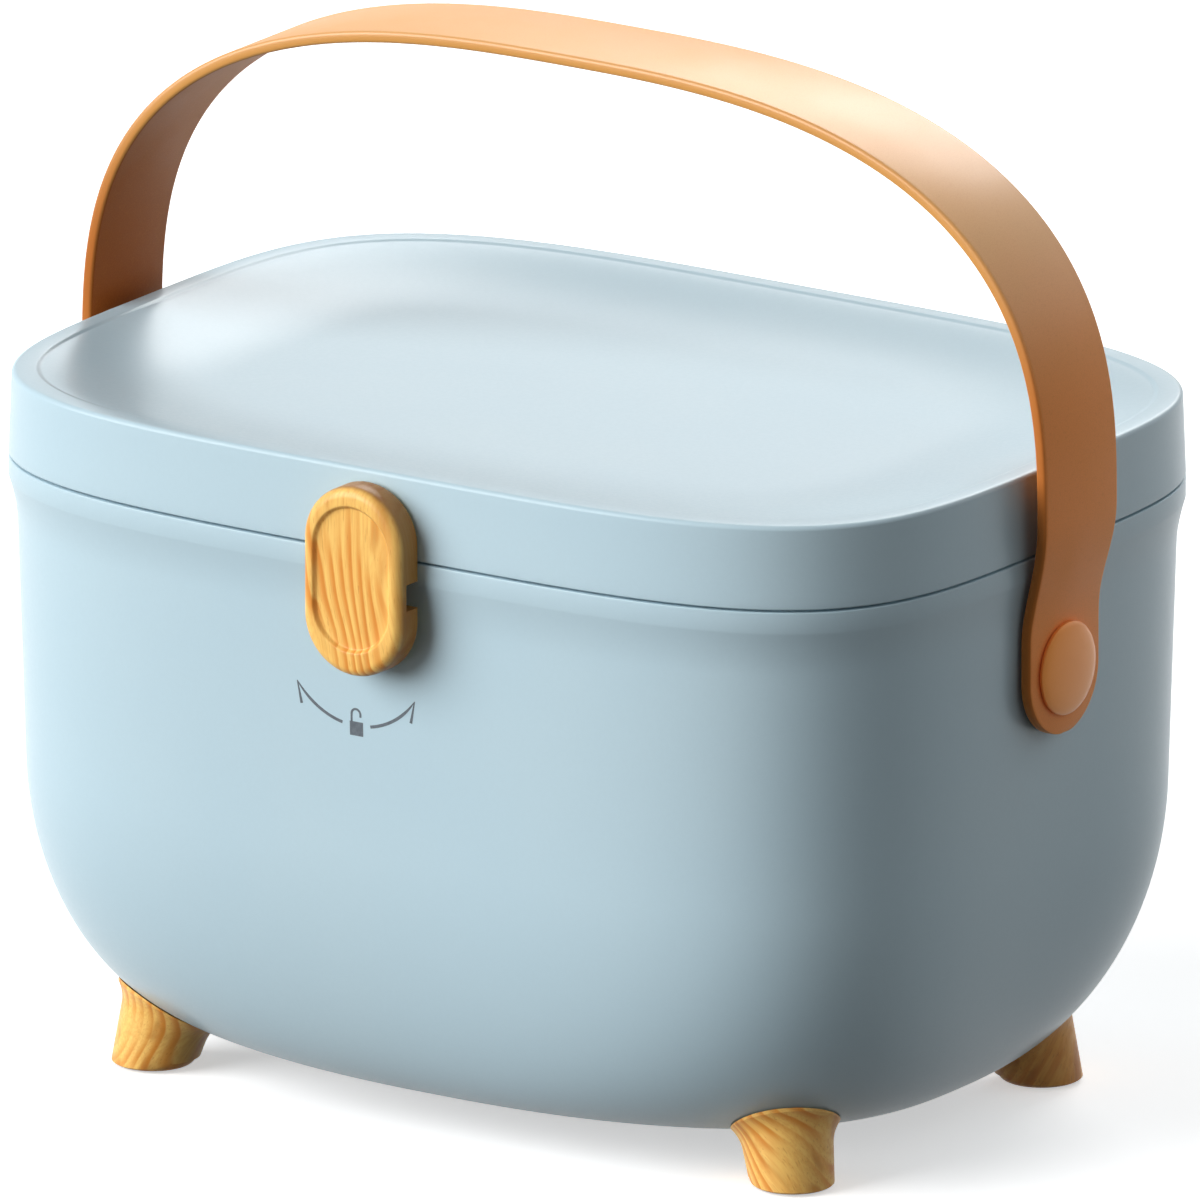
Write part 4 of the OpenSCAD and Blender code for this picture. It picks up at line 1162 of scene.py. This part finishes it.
@dataclass
class Strap:
    """The strap handle and the caps over its rivets."""

    sizes: Sizes
    width: float = 31.9
    waist_w: float = 30.1
    end_w: float = 30.9
    thick: float = 3.0
    rise: float = 86.0
    side_gap: float = 3.85
    arch_n: float = 2.75
    arch_drop: float = 12.0
    tail: float = 16.7
    cap_r: float = 11.7
    cap_dome_h: float = 2.0
    cap_edge_h: float = 0.7
    washer_t: float = 0.6
    corner: float = 0.9
    # height and run over which the painted highlight and the coat come in
    painted_light_z: float = 10.0
    painted_light_run: float = 54.0
    bore_play: float = 0.1
    sharp: float = 40.0

    @property
    def inner_a(self) -> float:
        """Distance of the strap's inner face at the rivets."""
        s = self.sizes
        return s.wall_a + s.pad_rise + self.washer_t + s.seat_gap

    @property
    def flat_z(self) -> float:
        """Height up to which the strap lies flat against its washer."""
        return self.sizes.pivot_z + self.cap_r * 0.8

    @property
    def arch_z(self) -> float:
        """Height at which the arch starts."""
        return self.sizes.body_h - self.arch_drop

    def width_at(self, z: Array) -> Array:
        """Return the strap's width at height z: narrow at its waist just above the cap."""
        waist_z = self.sizes.pivot_z + self.cap_r * 1.6
        below = self.end_w + (self.waist_w - self.end_w) * ease((z - self.flat_z) / (waist_z - self.flat_z))
        above = self.waist_w + (self.width - self.waist_w) * ease((z - waist_z) / (self.arch_z - waist_z))
        return np.where(z < waist_z, below, above)

    def line(self) -> tuple[Array, Array]:
        """Middle line of the strap, from one tail over the arch to the other.

        The tail's width follows the sine of its turn, the side bends out by half a cosine
        wave, and the arch is a quarter of a squared ellipse.

        Returns:
            Points as x and z, and the widths there.
        """
        s = self.sizes
        mid, arch_a = self.inner_a + self.thick / 2, s.edge_a + self.side_gap + self.thick / 2
        tail_r, flat_z, arch_z, start_z = self.end_w / 2, self.flat_z, self.arch_z, s.pivot_z + 1.0
        tail_z = s.pivot_z - self.tail + tail_r
        v = np.radians(np.concatenate([[1.2, 2.4, 4.0], np.linspace(6, 90, 40)]))
        z0 = np.concatenate([tail_z - tail_r * np.cos(v), np.linspace(tail_z, start_z, 4)[1:-1]])
        pre, k = np.linspace(start_z, flat_z, 8)[:-1], np.linspace(0, 1, 41)
        z1 = flat_z + (arch_z - flat_z) * k
        t = np.linspace(0, 1, 121)[1:]
        w = RIGHT * (0.35 * t + 0.65 * ease(t))
        x2 = arch_a * np.abs(np.cos(w)) ** (2 / self.arch_n)
        z2 = arch_z + (self.rise + self.arch_drop - self.thick / 2) * np.sin(w) ** (2 / self.arch_n)
        x = np.concatenate([np.full(len(z0) + len(pre), mid), mid + (arch_a - mid) * ease(k), x2])
        points = np.stack([x, np.concatenate([z0, pre, z1, z2])], -1)
        widths = np.concatenate([self.end_w * np.sin(v), np.full(2, self.end_w), self.width_at(pre),
                                 self.width_at(z1), np.full(len(z2), self.width)])
        mirrored = points[:-1][::-1] * np.array([-1, 1])
        return np.concatenate([points, mirrored]), np.concatenate([widths, widths[:-1][::-1]])

    def band(self) -> tuple[Shape, dict[str, Array]]:
        """Rounded flat section carried along the middle line, square to it.

        Returns:
            The closed band, and for each point how far it belongs to the cut edge, to the inner
            side and to the top of the arch over the lid, where highlight is painted and the coat lies, 0 to
            1.
        """
        points, widths = self.line()
        step = np.gradient(points, axis=0)
        step /= np.linalg.norm(step, axis=1, keepdims=True)
        across = np.stack([step[:, 1], -step[:, 0]], -1)
        turn, half = np.radians(np.linspace(0, 90, 5)), self.thick / 2 - self.corner
        rows = []
        for out, wide, way in [(1, 1, 1), (-1, 1, -1), (-1, -1, 1), (1, -1, -1)]:
            c, s = np.cos(turn)[::way], np.sin(turn)[::way]
            rows.append(np.stack([out * (half + self.corner * c), wide * s, np.full(len(c), wide)], -1))
        section = np.concatenate(rows)
        off, edge, side = section.T[:, None, :]
        reach = widths[:, None] / 2 - self.corner
        tip = widths[:, None] / 2 * side * np.maximum(0.05, np.abs(edge))
        y = np.where(reach < 0, tip, reach * side + self.corner * edge)
        off = off * np.minimum(1.0, widths / 6)[:, None]
        x, z = (points[:, None, i] + across[:, None, i] * off for i in (0, 1))
        marks = {"cut_edge": np.abs(section[:, 1]), "inner_side": np.where(section[:, 0] < 0, 1.0, 0.0)}
        marks = {name: np.tile(row, len(points)) for name, row in marks.items()}
        # share of painted highlight and coat, rising towards the top of the arch
        handled = ease((points[:, 1] - self.sizes.body_h - self.painted_light_z) / self.painted_light_run)
        marks["handled"] = np.repeat(handled, len(section))
        return loft(np.stack([x, y, z], -1)), marks

    def build(self, leather: Material, cap: Material) -> None:
        """Build the band and the two caps and dress them."""
        s = self.sizes
        shape, marks = self.band()
        piece = to_object("strap_band", shape)
        for name, values in marks.items():
            marked = piece.data.attributes.new(name, "FLOAT", "POINT")
            marked.data.foreach_set("value", values.astype(np.float32))
        bore = rod(s.post_r + self.bore_play, self.inner_a - 1, self.inner_a + self.thick + 1, 64)
        combine(piece, [bore.placed(*s.rivet_axes(side)) for side in SIDES], Cut.TAKE)
        settle(piece, Body.HANDLE, Slot.STRAP, leather, ["handle_strap"], self.sharp)
        self.caps(cap)

    def caps(self, finish: Material) -> None:
        """Build the two caps: a thin straight edge and a quarter ellipse over it."""
        s, r, edge = self.sizes, self.cap_r, self.cap_edge_h
        start = self.inner_a + self.thick + s.seat_gap
        turn = np.radians(np.linspace(0, 89, 34))
        dome = [(r * math.cos(a), edge + self.cap_dome_h * math.sin(a)) for a in turn]
        shape = lathe([(p, h + start) for p, h in [(r - 0.2, 0.0), (r, 0.2), *dome]], 128)
        hole = rod(s.post_r + s.pin_fit, start - 1, start + edge + 0.6, 64)
        for side, name in zip(SIDES, ("left", "right")):
            piece = to_object(f"cap_{name}_dome", shape.placed(*s.rivet_axes(side)))
            combine(piece, [hole.placed(*s.rivet_axes(side))], Cut.TAKE)
            settle(piece, Body.TUB, Slot.CAP, finish, [f"rivet_cap_{name}"], self.sharp)


@dataclass
class Feet:
    """The four leaning wooden feet."""

    sizes: Sizes
    flare: float = 6.0
    flare_power: float = 2.3
    brim: float = 0.3
    columns: int = 160
    flare_rings: int = 12

    def seats(self, place: Place, around: Array, r: float) -> Array:
        """Distance along the foot's axis at which a line beside it meets the tub, found by
        halving, for lines all round it.

        Args:
            place: place and axes of the foot.
            around: directions of the lines, one row each.
            r: their distance from the axis.

        Returns:
            The distances, one for each line.
        """
        s, (origin, axes) = self.sizes, place
        low, high = np.zeros(len(around)), np.full(len(around), 3 * s.foot_r)
        for _ in range(24):
            mid = (low + high) / 2
            x, y, z = (np.asarray(origin) + r * around @ axes + mid[:, None] * axes[2]).T
            u = np.arcsin(np.clip(1 - (z - s.ground_gap) / s.round_rise, -1, 1))
            a, b, n = s.plan(z, 1 - np.cos(u))
            inside = (z > s.ground_gap) & ((np.abs(x) / a) ** n + (np.abs(y) / b) ** n < 1)
            low, high = np.where(inside, low, mid), np.where(inside, mid, high)
        return low

    def cone(self, place: Place) -> Shape:
        """Leaning cone that flares under the tub: its radius grows by a power of the way to the
        seat, which lies at another height on each side.

        Args:
            place: place and axes of the foot.

        Returns:
            The closed foot, reaching into the tub.
        """
        s = self.sizes
        t = np.linspace(0, 2 * np.pi, self.columns, endpoint=False)
        around = np.stack([np.cos(t), np.sin(t), np.zeros_like(t)], -1)
        seat = self.seats(place, around, s.foot_r + s.foot_lip_w)
        start, shares = np.full_like(seat, -s.foot_r), np.linspace(0, 1, self.flare_rings + 1)
        ways = [start + (seat - self.flare - start) * k for k in (0.0, 0.35, 0.7)]
        ways += [seat - self.flare + (self.flare - self.brim) * k for k in shares]
        grows = [0.0] * 3 + [s.foot_lip_w * float(k) ** self.flare_power for k in shares]
        rings = []
        for way, grow in zip([*ways, seat + s.foot_r * 0.7], [*grows, s.foot_lip_w]):
            r = s.foot_r + s.foot_taper * way + grow
            rings.append(around * r[:, None] + way[:, None] * np.array([0, 0, 1.0]))
        return loft(rings).placed(*place)

    def room(self) -> Shape:
        """Return the upright space over the floor, rounded where the foot's lower edge is."""
        s = self.sizes
        edge, r, far = s.foot_r + s.edge_break - s.foot_edge_r, s.foot_edge_r, 3 * s.foot_r
        high = 2 * (s.foot_seat() + s.foot_r * 1.4)
        turn = arc((edge, r), r, 270, 360, 12)
        return lathe([*turn[:-1], (edge + r, r), (far, r + 0.01), (far, high)], 160)

    def build(self, finishes: dict[str, Material]) -> None:
        """Build the feet and dress each in its own wood, with its own grain, and with painted shade on the
        rear feet.
        """
        s = self.sizes
        core, pad = s.core(-s.seat_gap), rod(s.pad_r + 2 * s.run_fit, -1, s.pad_t, 64)
        screw = rod(s.screw_r + s.pin_fit, s.boss_top - s.screw_l - 1, s.boss_top + s.foot_r)
        for name, signs in CORNERS.items():
            place = s.foot_axes(*signs)
            x, y, _ = place[0]
            piece = to_object(f"foot_{name}_block", self.cone(place))
            combine(piece, [self.room().placed((x, y, s.pad_proud))], Cut.KEEP)
            combine(piece, [core, pad.placed((x, y, 0)), screw.placed(*place)], Cut.TAKE)
            settle(piece, Body.TUB, Slot.WOOD, finishes[name], [f"foot_{name}"])


@dataclass
class Tray:
    """The lift-out tray with its fixed rib and its guides."""

    sizes: Sizes
    round_rings: int = 10
    soft: float = 0.35

    @property
    def flange_z(self) -> float:
        """Height of the flange's top."""
        return self.sizes.collar_z - self.sizes.tray_drop

    @property
    def rest_z(self) -> float:
        """Height of the flange's underside."""
        return self.flange_z - self.sizes.tray_wall

    @property
    def low_z(self) -> float:
        """Height of the tray's underside."""
        return self.flange_z - self.sizes.tray_h

    def inset(self, z: float) -> float:
        """Return how far the outer wall stands in at height z."""
        return (self.rest_z - z) * math.tan(math.radians(self.sizes.wall_draft))

    def ring(self, z: float, inset: float) -> Array:
        """Return the tray's outline at height z, drawn in by inset."""
        a, b = self.sizes.tray_half
        return self.sizes.ring(z, a - inset, b - inset, self.sizes.outline_n)

    def round(self, inset: float) -> list[Array]:
        """Return the rings of the rounded lower edge, from the floor up."""
        r, made = self.sizes.tray_round, []
        for turn in np.linspace(0, RIGHT, self.round_rings + 1):
            z = self.low_z + r * (1 - math.cos(turn))
            side = self.inset(z) + r * (1 - math.sin(turn)) + inset * math.sin(turn)
            made.append(self.ring(z + inset * math.cos(turn), side))
        return made

    def shell(self) -> Shape:
        """Return the closed shell: rings up the outside, round the flange and down the inside."""
        w, f, soft = self.sizes.tray_wall, self.sizes.flange_w, self.soft
        low, top = self.rest_z, self.flange_z
        edge = [(low, 0), (low, -f + soft), (low + soft, -f), (top - soft, -f), (top, -f + soft),
                (top, w - soft), (top - soft, w)]
        return loft([*self.round(0), *(self.ring(z, inset) for z, inset in edge), *self.round(w)[::-1]])

    def side(self, z: float) -> float:
        """Return the half depth of the inside at the loose dividers, at height z."""
        (a, b), inset = self.sizes.tray_half, self.inset(z) + self.sizes.tray_wall
        return self.sizes.depth_at(a - inset, b - inset, self.sizes.divider_x)

    def ribs(self) -> list[Shape]:
        """Return the long rib and the pairs of guides."""
        s = self.sizes
        rib, t = s.long_rib_y, s.divider_t
        low, high = self.low_z + s.tray_wall / 2, self.rest_z - s.guide_reach
        run = s.tray_half[0] - s.tray_wall - self.inset(self.low_z)
        front = -self.side(high) - s.tray_wall / 2
        spans = [(rib - s.guide_reach, rib + t / 2),
                 (front, s.guide_reach - self.side(self.low_z + s.tray_wall))]
        made = [block((-run, rib, low), (run, rib + t, high))]
        for side, k in SIGNS:
            x = side * s.divider_x + k * (t + s.seat_gap)
            made += [block((x - t / 2, y0, low), (x + t / 2, y1, high)) for y0, y1 in spans]
        return made

    def build(self, finish: Material) -> None:
        """Build the tray and dress it."""
        piece = to_object("tray_moulding", self.shell())
        combine(piece, self.ribs(), Cut.ADD)
        settle(piece, Body.TUB, Slot.TRAY, finish, ["tray"])


@dataclass
class TurnMark:
    """Printed mark under the knob: two bent arrows and an open padlock."""

    sizes: Sizes
    centre_x: float = -5.8
    centre_z: float = 131.7
    radius: float = 21.1
    gap: float = 11.2
    reach: float = 55.0
    stroke: float = 0.8
    proud: float = 0.04
    sunk: float = 0.2
    lock_half_w: float = 1.95
    lock_h: float = 3.6
    hook_stroke: float = 0.58

    def ribbon(self, path: Array, widths: Array) -> Shape:
        """Stroke of a changing width along a flat path, laid on the front wall as a thin slab.

        Args:
            path: points as x and z.
            widths: width at each point.

        Returns:
            The closed stroke, each ring going sunk and proud on one rail, proud and sunk on the
            other.
        """
        s = self.sizes
        step = np.gradient(path, axis=0)
        step /= np.linalg.norm(step, axis=1, keepdims=True)
        normal = np.stack([-step[:, 1], step[:, 0]], -1) * widths[:, None] / 2
        rails = np.stack([path - normal, path + normal], 1)
        x, z = rails[:, :, 0] + self.centre_x, rails[:, :, 1]
        inset = s.wall_inset(z)
        y = -s.depth_at(s.edge_a - inset, s.edge_b - inset, x)
        front, back = np.stack([x, y - self.proud, z], -1), np.stack([x, y + self.sunk, z], -1)
        return loft(np.stack([back[:, 0], front[:, 0], front[:, 1], back[:, 1]], 1))

    def arrow(self, side: int) -> list[Shape]:
        """Return one bent arrow, a tapered arc with a single straight barb."""
        t, share = np.radians(np.linspace(self.gap, self.reach, 40)), np.linspace(0, 1, 40)
        path = np.stack([side * self.radius * np.sin(t), self.centre_z - self.radius * np.cos(t)], -1)
        taper = self.stroke * np.minimum(1.0, 1.15 - 0.95 * share ** 4)
        barb = path[-1] + np.array([-side * 1.2, -5.7]) * np.linspace(0, 1, 12)[:, None]
        return [self.ribbon(path, taper), self.ribbon(barb, self.stroke * np.linspace(0.35, 1.0, 12))]

    def padlock(self) -> list[Shape]:
        """Return the padlock's body and its open hook."""
        z, t = self.centre_z - self.radius, np.radians(np.linspace(180, 0, 20))
        body = np.stack([np.linspace(-self.lock_half_w, self.lock_half_w, 8), np.full(8, z - 0.7)], -1)
        bow = np.stack([-0.1 + 1.3 * np.cos(t), z + 3.0 + 1.3 * np.sin(t)], -1)
        leg = np.stack([np.full(6, -1.4), np.linspace(z + 1.0, z + 2.8, 6)], -1)
        end = np.stack([np.full(3, 1.2), np.linspace(z + 2.8, z + 2.3, 3)], -1)
        hook = np.concatenate([leg, bow, end])
        return [self.ribbon(body, np.full(8, self.lock_h)),
                self.ribbon(hook, np.full(len(hook), self.hook_stroke))]

    def build(self, finish: Material) -> None:
        """Build the mark on the wall and dress it."""
        work = bmesh.new()
        for shape in [*self.arrow(-1), *self.arrow(1), *self.padlock()]:
            part = to_object("mark_part", shape)
            work.from_mesh(part.data)
            drop(part)
        mesh = bpy.data.meshes.new("turn_mark")
        work.to_mesh(mesh)
        work.free()
        settle(hang("turn_mark", mesh), Body.TUB, Slot.BODY, finish, [], 0)


@dataclass
class Fittings:
    """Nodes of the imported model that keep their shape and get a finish."""

    finishes: dict[Slot, Material]

    def dress(self) -> None:
        """Give each carried-over node the finish of its slot."""
        chosen = {
            Slot.TRAY: ["tray_divider_left", "tray_divider_right"],
            Slot.PAD: [f"pad_{corner}" for corner in CORNERS],
            Slot.NYLON: ["strap_washer_left", "strap_washer_right"],
            Slot.STEEL: ["foot_screws", "hinge_pin_left", "hinge_pin_right", "latch_washer", "latch_screw",
                         "rivet_post_left", "rivet_post_right", "backing_washer_left",
                         "backing_washer_right"],
        }
        for slot, names in chosen.items():
            for name in names:
                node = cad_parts[name]
                node.data.materials.clear()
                node.data.materials.append(self.finishes[slot])
                log.info("%s: dressed as %s", name, slot.value)


@dataclass(frozen=True)
class Lamp:
    """Soft distant lamp: its energy, the direction that it shines from and its spread in degrees."""

    name: str
    energy: float
    source: Point
    soft: float

    def build(self) -> None:
        """Add the lamp to the scene."""
        data = bpy.data.lights.new(self.name, "SUN")
        data.energy, data.angle = self.energy, math.radians(self.soft)
        hang(self.name, data).rotation_euler = Vector(self.source).to_track_quat("Z", "Y").to_euler()


@dataclass
class Studio:
    """Pale floor, soft light and the photograph's camera."""

    eye: Point = (7.23224, -10.75644, 3.85568)
    azimuth: float = 33.91214
    elevation: float = 16.07562
    lens: float = 1650.0
    floor_half: float = 20.0
    floor_z: float = -0.05
    floor_glow: float = 0.5
    floor_tone: float = 0.95
    bounce: float = 0.07
    sky: float = 0.14
    lamps: tuple[Lamp, ...] = (
        Lamp("key", 4.05, (-0.6, -0.72, 0.35), 52.0),
        Lamp("back", 1.1, (-0.28, 0.8, 0.52), 31.0),
        Lamp("back_right", 0.5, (0.3, 0.74, 0.6), 60.0),
        Lamp("side", 0.4, (0.9, 0.2, 0.2), 80.0),
    )

    def camera(self) -> None:
        """Place the camera at the photograph's angle."""
        data = bpy.data.cameras.new("view")
        data.lens, data.sensor_width, data.clip_start, data.clip_end = self.lens, 36.0, 0.1, 100.0
        view = hang("view", data)
        a, e = math.radians(self.azimuth), math.radians(self.elevation)
        back = Vector((math.sin(a) * math.cos(e), -math.cos(a) * math.cos(e), math.sin(e)))
        view.location, view.rotation_euler = self.eye, back.to_track_quat("Z", "Y").to_euler()
        bpy.context.scene.camera = view

    def seen(self, g: Graph) -> Socket:
        """Return 1 for camera, glossy and transmission rays, 0 for others."""
        path = g.add("LightPath").outputs
        straight = g.math("MAXIMUM", path["Is Camera Ray"], path["Is Glossy Ray"])
        return g.math("MAXIMUM", straight, path["Is Transmission Ray"])

    def floor(self) -> None:
        """Lay the floor: a dim matt surface that glows for the camera, so it shows white and
        keeps the shadow."""
        h = self.floor_half * 1000
        corners = [(-h, -h), (h, -h), (h, h), (-h, h)]
        mesh = bpy.data.meshes.new("floor")
        mesh.from_pydata([(x * MM, y * MM, self.floor_z * MM) for x, y in corners], [], [(0, 1, 2, 3)])
        ground = hang("floor", mesh)
        made = bpy.data.materials.new("studio_floor")
        made.use_nodes = True
        g = Graph(made.node_tree)
        seen = self.seen(g)
        g.fill(made.node_tree.nodes["Principled BSDF"], {
            "Roughness": 1.0, "Specular IOR Level": 0.0, "Emission Strength": 1.0,
            "Base Color": g.mix(seen, grey(self.bounce), grey(self.floor_tone)),
            "Emission Color": g.mix(seen, grey(0.0), grey(self.floor_glow))})
        mesh.materials.append(made)

    def light(self) -> None:
        """Light the box from the front left and a little from the rear and the right, under a dim
        even sky that shows white."""
        for lamp in self.lamps:
            lamp.build()
        world = bpy.data.worlds.new("sky")
        world.use_nodes = True
        g = Graph(world.node_tree)
        g.tree.nodes.clear()
        dim = g.add("Background", {"Color": (0.98, 0.99, 1.0, 1.0), "Strength": self.sky}).outputs[0]
        white = g.add("Background", {"Color": grey(1.0), "Strength": 1.0}).outputs[0]
        mixed = g.add("MixShader", {0: self.seen(g), 1: dim, 2: white}).outputs[0]
        g.add("OutputWorld", {"Surface": mixed})
        bpy.context.scene.world = world

    def build(self) -> None:
        """Set up camera, floor and light."""
        self.camera()
        self.floor()
        self.light()
        view = bpy.context.scene.view_settings
        view.view_transform = "Standard"


# Turn and heart of each foot's grain: the streaks slant across it, and the heart lies beside it
FOOT_GRAIN = {
    "front_left": ((0.651, -0.456, 0.0), (0.1044, 0.0630, 0.0731)),
    "front_right": ((-0.211, 0.685, 0.0), (-0.0600, 0.0653, 0.0518)),
    "rear_left": ((-0.096, 0.581, 0.0), (0.1054, -0.0459, -0.0475)),
    "rear_right": ((0.501, -0.256, 0.0), (-0.0561, -0.0265, -0.0497)),
}
# The rear feet get darker tones: painted shade
REAR_PAINTED_SHADE = {"pale": colour(226, 166, 86), "deep": colour(192, 112, 38), "streak": colour(158, 88, 26)}


def make_finishes() -> tuple[dict[Slot, Material], dict[str, Material]]:
    """Build every material.

    Returns:
        Materials by slot, and the special ones by name.
    """
    moulded_group()
    grain_group()
    leather_group()
    slots = {
        Slot.BODY: Moulded("body_moulding", 0.31, 0.3),
        Slot.TRAY: Moulded("tray_moulding", 0.42, 0.5, colour(222, 230, 232), colour(216, 225, 228)),
        Slot.STRAP: Leather("strap_leather", 0.4, 0.25),
        Slot.CAP: Moulded("cap_moulding", 0.3, 1.0, colour(255, 164, 84), colour(252, 156, 78), 1.4,
                          gleam=colour(255, 190, 120)),
        Slot.PAD: Moulded("pad_rubber", 0.75, 0.3, colour(60, 60, 62), colour(52, 52, 54), 1.0, 0.00003),
        Slot.NYLON: Moulded("washer_nylon", 0.4, 0.5, colour(232, 228, 216), colour(226, 221, 208)),
        Slot.STEEL: Metal("fitting_steel", 0.3, 0.5),
    }
    special = {
        # the knob's sides get painted shade
        "knob": Wood("knob_wood", 0.36, 0.35, heart=(0.0138, 0.1, -0.1322), turn=(0.0, 0.16, 0.0),
                     side_shade_share=0.78),
        "mark": Ink("mark_ink", 0.5, 0.4),
    }
    for name, (turn, heart) in FOOT_GRAIN.items():
        # rear feet: darker tones as painted shade
        tones = REAR_PAINTED_SHADE if "rear" in name else {}
        special[name] = Wood(f"foot_{name}_wood", 0.38, 0.35, heart=heart, turn=turn, **tones)
    return tuple({key: finish.make() for key, finish in kept.items()} for kept in (slots, special))


def main() -> None:
    """Build the box's pieces in order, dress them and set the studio."""
    logging.basicConfig(level=logging.INFO, format="%(name)s: %(message)s")
    sizes = Sizes()
    slots, special = make_finishes()
    hinge = Hinge(sizes)
    Tub(sizes, hinge).build(slots[Slot.BODY])
    Lid(sizes, hinge).build(slots[Slot.BODY])
    Knob(sizes).build(special["knob"])
    Strap(sizes).build(slots[Slot.STRAP], slots[Slot.CAP])
    Feet(sizes).build(special)
    Tray(sizes).build(slots[Slot.TRAY])
    TurnMark(sizes).build(special["mark"])
    Fittings(slots).dress()
    Studio().build()


if __name__ == "__main__":
    main()
